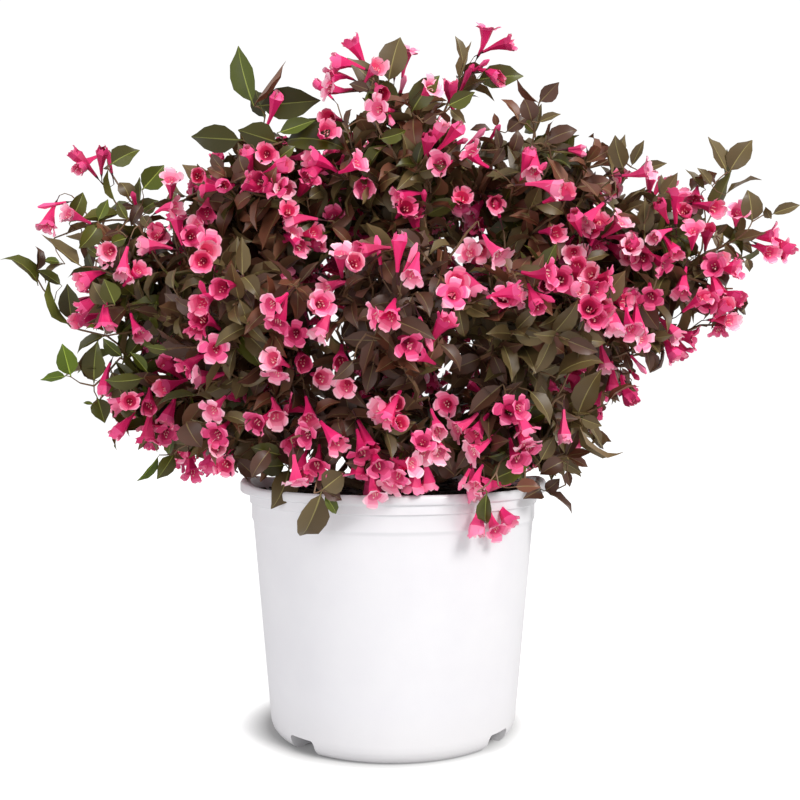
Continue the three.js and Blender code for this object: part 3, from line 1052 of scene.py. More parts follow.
# Where the background shows beside or between the leaves in the camera's view: across, down, radius.
OPEN_PLACES = (
    (340, 82, 5), (347, 110, 8), (466, 112, 8), (484, 104, 10), (500, 93, 6), (508, 88, 6), (512, 108, 5),
    (556, 103, 7), (575, 118, 7), (588, 135, 8), (600, 172, 5), (752, 322, 10), (757, 300, 6),
    (665, 318, 8), (681, 318, 6), (702, 330, 8), (636, 362, 5), (612, 412, 8), (630, 412, 14),
    (608, 425, 8), (622, 432, 8), (136, 434, 5), (635, 430, 14), (645, 405, 10), (600, 460, 12),
    (620, 470, 14), (592, 447, 5), (640, 455, 10), (548, 428, 5), (125, 455, 8), (108, 428, 7),
    (245, 434, 6), (241, 447, 4), (640, 358, 5), (655, 364, 5), (668, 376, 8), (188, 158, 7), (203, 156, 6),
    (172, 160, 6), (128, 168, 5), (90, 182, 8), (84, 172, 5), (60, 350, 8), (85, 305, 4), (262, 62, 6),
    (606, 350, 6), (618, 362, 7), (642, 374, 6), (640, 187, 5), (582, 432, 5), (568, 432, 5),
)


# How far beside an open place twigs, flowers and leaves stay.
TWIG_MARGIN, FLOWER_MARGIN, LEAF_MARGIN = 3, 6, 2


def in_open(point, more):
    """Whether a point would show in one of the open places, or less than this much beside it."""
    across, down, _ = in_sight(point)
    return any(math.hypot(across - x, down - y) < radius + more for x, y, radius in OPEN_PLACES)


class Crown:
    """The outer surface of all the foliage masses together, as points that each know the way out."""

    def __init__(self, names, rng):
        self.trees = {name: tree_of(name) for name in names}
        self.boxes = {name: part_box(name) for name in names}
        self.points, self.ways, self.names = [], [], []
        for name in names:
            self.sample(name, rng)
        self.cloud = np.array(self.points)
        self.near = KDTree(len(self.points))
        for index, point in enumerate(self.points):
            self.near.insert(point, index)
        self.near.balance()

    def sample(self, name, rng):
        mesh = NODES[name].data
        for polygon in mesh.polygons:
            a, b, c = (mesh.vertices[i].co for i in polygon.vertices)
            way = polygon.normal.copy()
            for _ in range(int(polygon.area / (SURFACE_GRAIN * MM) ** 2 + rng.random())):
                low, high = sorted((rng.random(), rng.random()))
                point = a * low + b * (high - low) + c * (1 - high)
                if not self.covered(point + way * 2 * MM, name):
                    self.points.append(point)
                    self.ways.append(way)
                    self.names.append(name)

    def covered(self, point, but):
        """Whether another mass than this one holds the point."""
        for name, (low, high) in self.boxes.items():
            if name != but and all(low[i] < point[i] < high[i] for i in range(3)):
                if within(self.trees[name], point):
                    return True
        return False

    def under(self, point):
        """How deep under the surface a point lies, and the way out there."""
        depth, way = 0.0, Vector()
        for place, index, _ in self.near.find_n(point, NEIGHBOURS):
            depth += (place - point).dot(self.ways[index]) / NEIGHBOURS
            way += self.ways[index]
        return depth, way.normalized()

    def first_hit(self, start, way):
        """Where a line of sight first meets the foliage, or None."""
        hits = [tree.ray_cast(start, way) for tree in self.trees.values()]
        hits = [hit for hit in hits if hit[0] is not None]
        return min(hits, key=lambda hit: hit[3])[:2] if hits else None

    def hidden(self, point):
        """Whether a good depth of foliage lies between the camera and a point."""
        gap = point - CAMERA_PLACE
        hit = self.first_hit(CAMERA_PLACE, gap.normalized())
        return hit is not None and (hit[0] - CAMERA_PLACE).length < gap.length - HIDING_DEPTH

    def shown_at(self, across, down):
        """The foliage that shows at a place in the camera's view, or the nearest to it, and the way out."""
        way = sight(across, down)
        hit = self.first_hit(CAMERA_PLACE, way)
        if hit:
            return hit
        gaps = self.cloud - np.array(CAMERA_PLACE)
        along = gaps @ np.array(way)
        off = np.linalg.norm(gaps - along[:, None] * np.array(way), axis=1)
        index = int(np.argmin(off))
        return CAMERA_PLACE + way * along[index], self.ways[index]


class Filled:
    """Remembers what places are taken, so that leaves and flowers keep clear of one another. A place
    is compared with those in its own cell and in the cells next to it."""

    def __init__(self, cell):
        self.cell = cell
        self.cells = {}

    def key(self, point):
        return tuple(int(math.floor(c / self.cell)) for c in point)

    def add(self, point):
        self.cells.setdefault(self.key(point), []).append(point)

    def free(self, point, room):
        x, y, z = self.key(point)
        span = range(-1, 2)
        return all(
            (other - point).length >= room
            for i in span
            for j in span
            for k in span
            for other in self.cells.get((x + i, y + j, z + k), ())
        )


# ---------- The front's blossom ----------

# The ways that flowers look: to the camera, and to its left, right, top and foot.
LOOKS = {
    "ahead": (0, -1, 0.05),
    "ahead and down": (0, -0.9, -0.5),
    "left": (-0.85, -0.5, -0.1),
    "right": (0.85, -0.5, -0.1),
    "up": (0, -0.4, 0.9),
    "down": (0, -0.5, -0.85),
    "up left": (-0.65, -0.4, 0.6),
    "up right": (0.65, -0.4, 0.6),
    "down left": (-0.6, -0.5, -0.6),
    "down right": (0.6, -0.5, -0.6),
}

# Where flowers show in the camera's view, across and down, by how open they are and how they look.
FRONT_BLOSSOM = {
    "open": {
        "ahead": (
            (44, 227), (104, 245), (104, 257), (141, 266), (157, 225), (160, 239), (172, 180), (197, 176),
            (204, 208), (241, 188), (194, 221), (207, 232), (207, 243), (207, 255), (188, 239), (223, 281),
            (201, 297), (199, 310), (164, 362), (176, 362), (195, 382), (130, 396), (149, 409), (209, 413),
            (281, 331), (294, 334), (267, 314), (269, 353), (274, 380), (303, 365), (325, 375), (341, 365),
            (346, 382), (213, 349), (284, 403), (281, 420), (258, 173), (267, 150), (286, 165), (273, 183),
            (289, 184), (289, 204), (298, 228), (319, 230), (305, 244), (311, 151), (314, 159), (311, 181),
            (334, 210), (339, 253), (362, 166), (363, 180), (408, 201), (355, 263), (413, 277), (455, 270),
            (454, 292), (322, 295), (457, 209), (466, 214), (463, 191), (463, 155), (467, 257), (377, 400),
            (396, 404), (384, 418), (401, 424), (448, 411), (420, 445), (443, 451), (473, 432), (415, 353),
            (413, 336), (387, 315), (442, 317), (501, 202), (472, 206), (579, 225), (591, 225), (633, 250),
            (480, 242), (519, 286), (515, 292), (501, 301), (555, 281), (562, 268), (578, 264), (588, 267),
            (591, 274), (592, 299), (601, 287), (594, 300), (696, 196), (719, 206), (736, 214), (696, 230),
            (708, 229), (773, 251), (705, 294), (728, 304), (715, 272), (724, 260), (639, 251), (629, 251),
            (631, 236), (509, 409), (678, 254), (381, 95), (324, 112), (558, 228), (572, 251), (580, 249),
        ),
        "ahead and down": (
            (168, 420), (212, 437), (170, 437), (144, 442), (156, 428), (217, 449), (192, 471), (207, 467),
            (228, 471), (258, 430), (288, 440), (312, 420), (305, 444), (337, 442), (296, 473), (364, 459),
            (373, 449), (395, 480), (381, 475), (418, 473), (426, 463), (455, 439), (471, 462), (471, 483),
            (481, 487), (650, 300), (607, 369),
        ),
        "down": (
            (118, 276), (137, 338), (199, 336), (318, 334), (318, 474), (298, 488), (356, 481), (373, 491),
            (393, 494), (414, 493), (371, 505), (433, 488), (474, 498), (439, 434), (497, 261), (537, 172),
            (609, 332), (619, 328), (628, 336), (637, 332), (103, 326), (709, 308), (719, 312), (719, 295),
            (730, 296), (681, 291), (516, 467), (526, 460), (475, 533), (495, 537), (432, 388),
        ),
        "left": (
            (77, 306), (76, 322), (112, 404), (66, 210), (200, 191), (142, 239), (79, 274), (161, 389),
            (357, 246), (395, 194), (440, 170), (319, 281), (372, 325), (323, 95), (373, 107), (329, 69),
        ),
        "right": (
            (176, 198), (560, 182), (569, 192), (636, 234), (623, 255), (482, 289), (613, 286), (600, 316),
            (610, 312), (627, 298), (635, 298), (653, 174), (739, 266), (792, 246), (634, 291), (638, 299),
            (601, 315), (648, 341), (682, 334), (695, 343), (740, 300), (733, 318), (525, 416), (438, 92),
            (329, 126), (329, 310), (777, 241),
        ),
        "up left": ((353, 38), (336, 55)),
        "up": ((172, 216), (407, 215), (376, 60), (407, 44), (450, 84), (396, 47), (674, 190), (602, 215)),
        "up right": ((494, 26), (510, 38), (627, 223)),
        "down right": (
            (536, 430), (530, 449), (677, 354), (690, 353), (670, 267), (739, 273), (785, 258), (727, 335),
            (510, 526), (614, 391),
        ),
    },
    "half open": {
        "ahead": (
            (304, 168), (286, 214), (225, 188), (658, 203), (651, 235), (687, 206), (545, 281), (324, 243),
        ),
        "right": ((502, 72), (581, 285)),
        "up": ((100, 148), (281, 94), (246, 149), (398, 234), (442, 121), (574, 214), (530, 149), (429, 135)),
        "up left": ((75, 150),),
        "up right": ((464, 127),),
        "down": ((625, 404), (564, 440)),
        "down left": ((76, 166), (97, 392), (117, 437)),
        "down right": ((537, 306),),
    },
    "bud": {
        "left": ((38, 207),),
        "right": ((560, 304), (479, 136), (599, 145), (600, 158), (650, 378), (648, 389)),
        "up": ((106, 144), (129, 180), (198, 276), (375, 228), (424, 177), (417, 243), (407, 70), (491, 186)),
        "up right": ((481, 52), (493, 57), (471, 67), (508, 113), (490, 124), (550, 159)),
        "down": ((393, 127), (512, 494), (456, 495), (432, 351)),
    },
}


# How far down the view flowers start to hang, how much further they hang most, and how much that is.
HANGING_FROM = 260
HANGING_FULL = 160
HANGING_MOST = 0.6

OUTWARD = 0.25  # how much a flower of the front looks the way out of the crown
STRAY_AHEAD = 1.0  # how much it looks astray, if it looks ahead
STRAY_ASIDE = 0.45  # the same, if it looks to a side
FRONT_SIZES = (1.03, 1.18)
STEP_BEHIND = 4  # how far a flower moves back at a time, to come clear of another
POSY_MOST = 7
TURN_AWAY = 0.5  # how much each flower of a posy turns away from the posy's middle


class Blossom:
    """A flower or bud of the front: where its mouth is, the way it looks and how open it is."""

    def __init__(self, mouth, way, kind, size):
        self.mouth = mouth
        self.kind = kind
        self.size = size
        self.look(way)

    def look(self, way):
        self.way = way
        self.foot = self.mouth - way * FLOWER_LENGTH * self.size * MM


def before_pot(place, way, pot):
    """The place itself or, where the pot's wall would hide it or be far behind it, one just before it."""
    wall = pot.ray_cast(CAMERA_PLACE, way)[0]
    if wall is None or wall.y > -POT_FRONT * MM:
        return place
    if POT_GAP / 3 * MM < (wall - place).dot(way) < POT_GAP * MM:
        return place
    return wall - way * POT_GAP * MM


def front_blossom(crown, pot, rng):
    """The front's blossom, each flower on the leaves' surface or, where that is taken, behind it."""
    taken = Filled(FLOWER_ROOM * MM)
    blossom = []
    for kind, by_look in FRONT_BLOSSOM.items():
        for look, places in by_look.items():
            for across, down in places:
                mouth, out = crown.shown_at(across, down)
                mouth = before_pot(mouth, sight(across, down), pot)
                while not taken.free(mouth, FLOWER_ROOM * 0.9 * MM):
                    mouth = mouth + sight(across, down) * STEP_BEHIND * MM
                taken.add(mouth)
                spread = STRAY_AHEAD if look.startswith("ahead") else STRAY_ASIDE
                stray = Vector([rng.uniform(-spread, spread) for _ in range(3)])
                hang = UP * HANGING_MOST * min(1, max(0, (down - HANGING_FROM) / HANGING_FULL))
                way = (Vector(LOOKS[look]) + out * OUTWARD - hang + stray).normalized()
                blossom.append(Blossom(mouth, way, kind, rng.uniform(*FRONT_SIZES)))
    return blossom


def in_posies(blossom):
    """Sorts blossom into posies that each grow on one twig, and turns every flower away from its twig."""
    posies = []
    for flower in blossom:
        for posy in posies:
            hub = sum((other.foot for other in posy), Vector()) / len(posy)
            if (hub - flower.foot).length < POSY_ROOM * MM and len(posy) < POSY_MOST:
                posy.append(flower)
                break
        else:
            posies.append([flower])
    for posy in posies:
        hub = sum((flower.foot for flower in posy), Vector()) / len(posy)
        for flower in posy:
            flower.look(blend((flower.way, 1), ((flower.mouth - hub).normalized(), TURN_AWAY)))
    return posies


# ---------- The front's leaves ----------

# Leaves that show singly from the front, by tone: where the foot and the tip are in the camera's view,
# across and down, and how broad the leaf shows, which is negative where its upper side faces lower.
FRONT_LEAVES = {
    "bronze": (
        (254, 106, 286, 61, -10), (539, 103, 517, 79, -8), (497, 127, 494, 113, 7),
        (514, 487, 541, 487, 14), (566, 456, 591, 452, 7), (568, 456, 588, 467, 9), (607, 404, 640, 387, 7),
        (226, 177, 207, 168, 10), (519, 123, 501, 99, 5),
    ),
    "umber": (
        (36, 272, 35, 246, 9), (122, 270, 118, 246, 24), (119, 231, 104, 236, 8), (136, 207, 119, 207, 9),
        (540, 104, 559, 82, -19), (532, 122, 525, 99, 15), (545, 143, 577, 130, 13),
        (505, 133, 528, 116, 14), (492, 130, 470, 130, 6), (348, 127, 352, 109, 6), (371, 91, 349, 84, 8),
        (423, 123, 437, 113, 13), (549, 140, 554, 120, 6), (566, 455, 579, 427, 12),
        (646, 348, 650, 373, 9), (632, 380, 619, 397, 10), (566, 413, 561, 391, 12),
        (602, 393, 620, 402, 7), (225, 171, 211, 154, 12), (245, 172, 237, 157, 20),
        (257, 478, 235, 458, 14), (640, 303, 659, 330, 18), (503, 384, 468, 415, 24),
        (545, 491, 573, 517, 9), (322, 490, 342, 500, 12), (186, 422, 200, 448, 20),
        (632, 371, 626, 354, 8), (567, 470, 570, 487, 8), (564, 461, 540, 474, 18),
        (541, 489, 523, 498, 12), (545, 490, 560, 479, 10), (566, 340, 598, 352, 16),
        (206, 382, 203, 352, 18), (500, 150, 496, 128, 12), (512, 152, 518, 130, 12),
        (480, 150, 474, 136, 8), (455, 476, 438, 462, 16), (440, 478, 425, 460, 14),
        (346, 446, 322, 470, 14), (317, 446, 336, 474, 13), (443, 440, 452, 470, 14),
        (472, 444, 456, 470, 14), (438, 343, 460, 372, 14), (464, 343, 444, 368, 13),
        (354, 360, 332, 380, 13), (270, 450, 252, 478, 14), (301, 443, 289, 470, 13),
        (480, 254, 464, 276, 12), (142, 204, 131, 226, 12), (504, 147, 490, 166, 10),
    ),
    "olive": (
        (388, 84, 400, 37, -24),
        (82, 267, 41, 234, 16), (107, 306, 92, 282, 16), (129, 198, 121, 182, 14), (463, 63, 455, 36, 9),
        (538, 123, 561, 114, 7), (449, 109, 466, 123, 8), (580, 418, 602, 426, 12),
        (579, 423, 624, 452, -7), (560, 460, 582, 473, 14), (65, 264, 46, 284, 6), (322, 490, 300, 536, 22),
        (289, 468, 273, 509, 26), (322, 490, 345, 472, 24), (578, 415, 601, 370, 24),
        (624, 170, 614, 136, 20), (631, 167, 644, 140, 9), (637, 170, 667, 163, 9), (613, 176, 605, 149, 6),
        (727, 172, 708, 137, 13), (729, 173, 752, 140, 20), (706, 190, 685, 169, 9),
        (712, 186, 697, 168, 8), (725, 195, 762, 180, 6), (752, 222, 748, 190, 22),
        (771, 215, 800, 205, 12), (644, 238, 645, 198, 20), (528, 390, 550, 425, 14),
        (540, 462, 555, 435, 16), (556, 378, 604, 363, 13), (716, 237, 699, 236, 5),
        (717, 236, 728, 224, 6), (724, 243, 738, 258, 10), (746, 258, 750, 272, 8), (771, 219, 765, 207, 8),
        (142, 216, 152, 232, 10),
    ),
    "dark_green": (
        (72, 322, 67, 284, 20), (256, 106, 321, 100, 27), (279, 143, 238, 130, 25),
        (243, 140, 191, 137, 26), (284, 143, 345, 149, 20), (286, 465, 257, 467, 17),
        (281, 455, 251, 447, 18), (106, 336, 77, 354, 10), (198, 395, 158, 405, 12),
    ),
    "deep_green": (
        (69, 224, 83, 192, 17), (99, 224, 80, 249, 18), (38, 286, 0, 260, 14), (62, 286, 36, 270, 10),
        (101, 257, 87, 247, 8), (115, 305, 104, 279, 18), (411, 113, 439, 75, -24), (475, 80, 524, 76, 22),
        (447, 106, 475, 92, 15), (379, 139, 406, 130, 12), (444, 147, 454, 127, 12),
        (275, 162, 255, 149, 18), (278, 159, 295, 146, 10), (110, 165, 139, 149, 20),
        (144, 378, 105, 380, 17), (94, 383, 97, 341, 21), (174, 454, 157, 479, 14), (97, 397, 105, 423, 18),
        (132, 396, 118, 412, 16), (136, 412, 119, 406, 14), (487, 483, 529, 465, 22),
        (487, 491, 486, 524, 15), (140, 212, 158, 200, 14), (128, 220, 118, 202, 10),
        (168, 350, 146, 346, 10),
    ),
    "green": (
        (98, 221, 108, 199, 9), (61, 263, 43, 261, 6), (127, 238, 111, 243, 13), (105, 332, 85, 330, 5),
        (254, 104, 238, 46, -21), (277, 133, 315, 120, 13), (440, 144, 433, 116, 7),
        (142, 190, 164, 165, 22), (123, 357, 103, 338, 12), (148, 373, 130, 352, 14), (94, 404, 83, 403, 5),
        (324, 494, 336, 514, 10),
    ),
    "fresh_green": ((71, 377, 62, 344, -19), (67, 376, 40, 380, 9), (159, 455, 137, 481, -9)),
}
FULL_BREADTH = 0.42  # of a leaf seen flat, as a share of its length


class FrontLeaf:
    """A single leaf of the front: its foot and tip, the way its upper side faces, and its tone."""

    def __init__(self, crown, pot, rng, row, tone):
        across, down, tip_across, tip_down, breadth = row
        way = sight(across, down)
        self.base = before_pot(crown.shown_at(across, down)[0] + way * LEAF_BEHIND * MM, way, pot)
        far = self.base.y - CAMERA_PLACE.y
        tip_way = sight(tip_across, tip_down)
        tip = CAMERA_PLACE + tip_way * (far / tip_way.y)
        length = (tip - self.base).length
        self.tip = before_pot(tip - way * length * rng.uniform(*LEAF_NOD), tip_way, pot)
        seen = abs(breadth) / math.hypot(tip_across - across, tip_down - down) / FULL_BREADTH
        self.broad = max(1.0, seen)
        along = (self.tip - self.base).normalized()
        turned = math.acos(min(1.0, seen))
        ups = [Matrix.Rotation(side * turned, 3, along) @ -way for side in (1, -1)]
        self.up = max(ups, key=lambda up: up.z * breadth)
        self.tone = tone

    def keep_clear(self, blossom):
        """Moves the leaf back, if need be, so that no flower's bell cuts through it."""
        bells = [flower.mouth - flower.way * BELL_DEPTH * MM for flower in blossom]
        for _ in range(3):
            points = [self.base.lerp(self.tip, share) for share in (0.2, 0.5, 0.8)]
            if all((bell - point).length > BELL_ROOM * MM for bell in bells for point in points):
                return
            if self.tip.z < (POT_HEIGHT + BELL_ROOM) * MM:
                return
            back = (points[1] - CAMERA_PLACE).normalized() * BELL_ROOM / 2 * MM
            self.base += back
            self.tip += back


def front_leaves(crown, pot, blossom, rng):
    """The single leaves of the front, each clear of the blossom."""
    tones = list(LEAF_TONES)
    leaves = []
    for tone, rows in FRONT_LEAVES.items():
        for row in rows:
            leaf = FrontLeaf(crown, pot, rng, row, tones.index(tone))
            leaf.keep_clear(blossom)
            leaves.append(leaf)
    return leaves


# ---------- Stems and shoots ----------

# Where each main stem ends, how far from the axis and how high above the mix it springs, and how
# much it arches.
BOUGHS = (
    ((0, -142, 394), 20, 10, 20),
    ((-124, -112, 390), 20, 10, 22),
    ((116, -110, 388), 20, 10, 22),
    ((-234, -12, 420), 20, 10, 18),
    ((214, -16, 378), 20, 10, 22),
    ((-146, 116, 452), 20, 10, 18),
    ((154, 116, 450), 20, 10, 18),
    ((4, 178, 428), 20, 10, 18),
    ((-122, -32, 500), 9, 14, -22),
    ((8, -52, 528), 9, 14, 0),
    ((140, -34, 514), 9, 14, -22),
    ((-218, -22, 312), 26, 6, -6),
    ((160, -24, 290), 26, 6, 0),
)
BOUGH_SWAY = 5  # to one side and then to the other
BOUGH_RADII = (4.4, 2.4)  # at least, at a main stem's foot and end

# Where the stems of some lone sprays show in the camera's view, across and down.
STEMS_SEEN = {
    "spray_far_left": ((107, 336), (81, 330), (71, 327), (61, 315), (54, 303), (43, 289), (38, 280)),
    "spray_left_lower": ((120, 358), (94, 386), (80, 383), (67, 376)),
    "spray_low_right": ((560, 417), (578, 419), (606, 403)),
    "spray_far_right": ((708, 252), (730, 244), (752, 227), (768, 219)),
    "spray_left_upper": ((140, 212), (128, 198), (118, 184), (108, 168)),
    "spray_left_blooms": ((130, 220), (112, 220), (98, 222), (82, 226), (68, 229)),
    "spray_top_left": ((268, 150), (256, 128), (252, 116), (254, 106)),
    "spray_top_centre": ((404, 140), (399, 115), (391, 96), (386, 84)),
    "spray_top_right": ((444, 112), (451, 96), (459, 79), (464, 65), (467, 52)),
    "spray_upper_right": ((536, 146), (535, 132), (538, 118), (540, 106)),
    "spray_right_upper": ((604, 200), (613, 186), (623, 171)),
    "spray_right_leafy": ((705, 228), (716, 205), (722, 192), (727, 173)),
}
PIPE = 2.3  # a stem's radius to this power is the sum of its shoots' radii to the same power
SHOOT_RADIUS = 0.75
STALK_RADIUS = 0.5
SHORTEST_STALK = 2  # nearer leaves sit on the limb itself
STALK_STEP = 8
STALK_BOW = 0.12  # how far a leaf's stalk bends aside, as a share of its length
POSY_STALK = 5  # from a posy's twig to the middle of its flowers' feet
POSY_BOW = 1.5  # how far such a stalk bends aside
SLIM = 0.72  # girth of the lone sprays' stems, as a share of other stems' girth
STEP = 12 * MM
MOST_PLACES = 60000  # that a limb may spring from

# What makes one place to spring from worse than another: its distance, a turn where the shoot leaves
# it and one where the shoot arrives, as shares of that distance, and a shoot that would be too short.
LEAVING_TURN = 0.9
ARRIVING_TURN = 0.5
SHORTEST_SHOOT = 0.03  # in metres
TOO_SHORT = 0.2

# How much a shoot leaves along its parent and towards its tip, how much it arrives by the direct way,
# and how long its curve's two handles are, as shares of its length.
LEAVE_ALONG = 0.6
LEAVE_DIRECT = 0.5
ARRIVE_DIRECT = 0.8
HANDLES = (0.36, 0.34)

TAPER = 0.9  # how much a limb's own load grows from its tip to its foot
HANDED_DOWN = 0.8  # the share of a limb's load that adds to its parent's


def smooth_path(points, step=STEP):
    """Points about a step apart on a smooth curve through the given ones."""
    points = [Vector(p) for p in points]
    path = [points[0]]
    for i, (start, finish) in enumerate(zip(points, points[1:])):
        before = points[max(i - 1, 0)]
        after = points[min(i + 2, len(points) - 1)]
        count = max(2, round((finish - start).length / step) + 1)
        handles = start + (finish - before) / 6, finish - (after - start) / 6
        path += interpolate_bezier(start, *handles, finish, count)[1:]
    return path


class Limb:
    """A stem, shoot or stalk: its path, the limb that it springs from and where, and its girth."""

    def __init__(self, points, parent=None, at=0, region=None, kind="shoot"):
        self.points = points
        self.parent = parent
        self.at = at
        self.region = region
        self.kind = kind
        self.load = [0.0] * len(points)
        self.posy = []

    def way(self, index):
        after = self.points[min(index + 1, len(self.points) - 1)]
        return (after - self.points[max(index - 1, 0)]).normalized()

    def radius(self, index):
        slim = SLIM if self.region in HAND_SET else 1
        return self.load[index] ** (1 / PIPE) * slim * MM


class Shrub:
    """All the limbs, and every point that a new one may spring from."""

    def __init__(self):
        self.limbs = []
        self.places = np.empty((MOST_PLACES, 3))
        self.ways = np.empty((MOST_PLACES, 3))
        self.owners = []

    def keep(self, limb, first=1):
        """Keeps a limb, whose points from the first one on new limbs may spring from."""
        self.limbs.append(limb)
        for index in range(first, len(limb.points)):
            self.places[len(self.owners)] = limb.points[index]
            self.ways[len(self.owners)] = limb.way(index)
            self.owners.append((limb, index))
        return limb

    def spring(self, tip, way):
        """The limb that a shoot to this tip, which it reaches this way, leaves most easily, and where."""
        count = len(self.owners)
        gap = np.array(tip) - self.places[:count]
        apart = np.linalg.norm(gap, axis=1)
        along = (gap * self.ways[:count]).sum(1) / np.maximum(apart, 1e-9)
        arriving = gap @ np.array(way) / np.maximum(apart, 1e-9)
        turns = LEAVING_TURN * (1 - along) + ARRIVING_TURN * (1 - arriving)
        cost = apart * (1 + turns) + np.where(apart < SHORTEST_SHOOT, TOO_SHORT, 0.0)
        return self.owners[int(np.argmin(cost))]

    def nearest(self, point):
        """The limb that passes nearest to a point, and where."""
        apart = np.linalg.norm(np.array(point) - self.places[: len(self.owners)], axis=1)
        return self.owners[int(np.argmin(apart))]

    def grow(self, tip, way, region, through=()):
        """Grows a shoot to the tip, through any given places, which it reaches in a given way."""
        target = through[0] if through else tip
        arrive = (through[1] - through[0]).normalized() if len(through) > 1 else way
        parent, at = self.spring(target, arrive)
        start = parent.points[at]
        gap = (target - start).length
        toward = (target - start).normalized()
        leave = blend((parent.way(at), LEAVE_ALONG), (toward, LEAVE_DIRECT))
        arrive = blend((arrive, 1), (toward, ARRIVE_DIRECT))
        count = max(4, round(gap / STEP) + 1)
        handles = start + leave * gap * HANDLES[0], target - arrive * gap * HANDLES[1]
        path = interpolate_bezier(start, *handles, target, count)
        if through:
            path += smooth_path([*through, tip])[1:]
        return self.keep(Limb(path, parent, at, region), 2)

    def cut_back(self, regions):
        """Cuts these regions' shoots back to the last twig or stalk that they carry."""
        for limb in list(reversed(self.limbs)):
            if limb.kind == "shoot" and limb.region in regions and not limb.posy:
                last = max((other.at for other in self.limbs if other.parent is limb), default=0)
                if last:
                    limb.points = limb.points[: last + 1]
                    limb.load = limb.load[: last + 1]
                else:
                    self.limbs.remove(limb)

    def thicken(self):
        """Gives every limb the girth that its shoots add up to."""
        for limb in reversed(self.limbs):
            end_load = (STALK_RADIUS if limb.kind == "stalk" else SHOOT_RADIUS) ** PIPE
            for index in range(len(limb.load)):
                share = 1 - index / (len(limb.load) - 1)
                limb.load[index] += end_load * (1 + TAPER * share)
            if limb.parent is not None:
                for index in range(limb.at + 1):
                    limb.parent.load[index] += limb.load[0] * HANDED_DOWN


CROWN_MIDDLE = (0, 0, 0.33)  # in metres
LONE_SWAY = ((-6, 6), (-6, 6), (-3, 6))  # how far a lone stem's middle lies beside the straight way


def bough_path(end, spring, height, lift):
    """The path of a main stem, arched and a little swaying, from the mix to its end."""
    away = Vector((end[0], end[1], 0)).normalized()
    across = Vector((-away.y, away.x, 0))
    foot = away * spring + UP * (MIX_TOP + height)
    points = []
    for share in (0, 0.25, 0.5, 0.75, 1):
        point = foot.lerp(Vector(end), share) + UP * (lift * 4 * share * (1 - share))
        points.append((point + across * (BOUGH_SWAY * math.sin(share * 2 * math.pi))) * MM)
    return smooth_path(points)


def spray_axis(name):
    """The two ends of a lone spray, from inside the crown to its tip."""
    places = np.array([v.co for v in NODES[name].data.vertices])
    centre = places.mean(0)
    axis = np.linalg.svd(places - centre, full_matrices=False)[2][0]
    if (centre - np.array(CROWN_MIDDLE)) @ axis < 0:
        axis = -axis
    reach = (places - centre) @ axis
    return Vector(centre + axis * reach.min()), Vector(centre + axis * reach.max())


def tips_for(crown, rng):
    """Where twigs end: points spread evenly under the crown's surface, in layers."""
    order = list(range(len(crown.points)))
    tips = []
    for inner, (depth, spacing) in enumerate(TIP_LAYERS):
        taken = Filled(spacing * MM)
        rng.shuffle(order)
        for index in order:
            out, name = crown.ways[index], crown.names[index]
            lone = name.startswith("spray_")
            if lone and inner:
                continue
            tip = crown.points[index] - out * (LONE_DEPTH if lone else depth) * MM
            if not taken.free(tip, (LONE_SPACING if lone else spacing) * MM):
                continue
            if inner and (crown.under(tip)[0] < depth * DEEP_SHARE * MM or not clear_of_pot(tip)):
                continue
            if in_open(tip, TWIG_MARGIN):
                continue
            lean = abs(out.dot((tip - CAMERA_PLACE).normalized()))
            on_edge = tip.z > RAGGED_ABOVE and lean < EDGE_ON
            if on_edge and not lone and rng.random() < RAGGED_SHARE:
                continue
            taken.add(tip)
            tips.append((tip, out, name))
    return tips


def grow_lone_sprays(shrub, crown, rng):
    """The stem of each lone spray, through its given places or along the spray's middle."""
    for name in sorted(crown.trees):
        if not name.startswith("spray_"):
            continue
        foot, end_point = spray_axis(name)
        axis = (end_point - foot).normalized()
        tip = end_point - axis * LONE_DEPTH * MM
        sway = Vector([rng.uniform(*span) for span in LONE_SWAY]) * MM
        if name in STEMS_SEEN:
            far = (foot.y + end_point.y) / 2 - CAMERA_PLACE.y
            ways = [sight(*place) for place in STEMS_SEEN[name]]
            *before, last = [CAMERA_PLACE + way * (far / way.y) for way in ways]
            shrub.grow(last, axis, name, through=before)
        else:
            shrub.grow(tip, axis, name, through=[foot, foot.lerp(tip, 0.5) + sway])


def grow_stalks(shrub, twig, posy):
    """A thin stalk from the twig's end to the foot of each flower of its posy."""
    twig.posy = posy
    last = len(twig.points) - 1
    for number, flower in enumerate(posy):
        at = last - number % 2
        start = twig.points[at]
        half = (start + flower.foot) / 2 + (twig.way(at) - flower.way) * POSY_BOW * MM
        stalk = Limb([start, half, flower.foot], twig, at, twig.region, "stalk")
        shrub.keep(stalk, len(stalk.points))


def grow_leaf_stalk(shrub, leaf):
    """A stalk from the nearest limb to a leaf's foot."""
    parent, at = shrub.nearest(leaf.base)
    start = parent.points[at]
    gap = (leaf.base - start).length
    if gap < SHORTEST_STALK * MM:
        leaf.base = start
        return
    half = (start + leaf.base) / 2 + (parent.way(at) + UP * 0.3) * gap * STALK_BOW
    path = smooth_path([start, half, leaf.base], STALK_STEP * MM)
    shrub.keep(Limb(path, parent, at, parent.region, "stalk"))


# How much a shoot's tip points out of the crown, away from the root and up.
SHOOT_WAYS = (0.7, 0.5, 0.1)


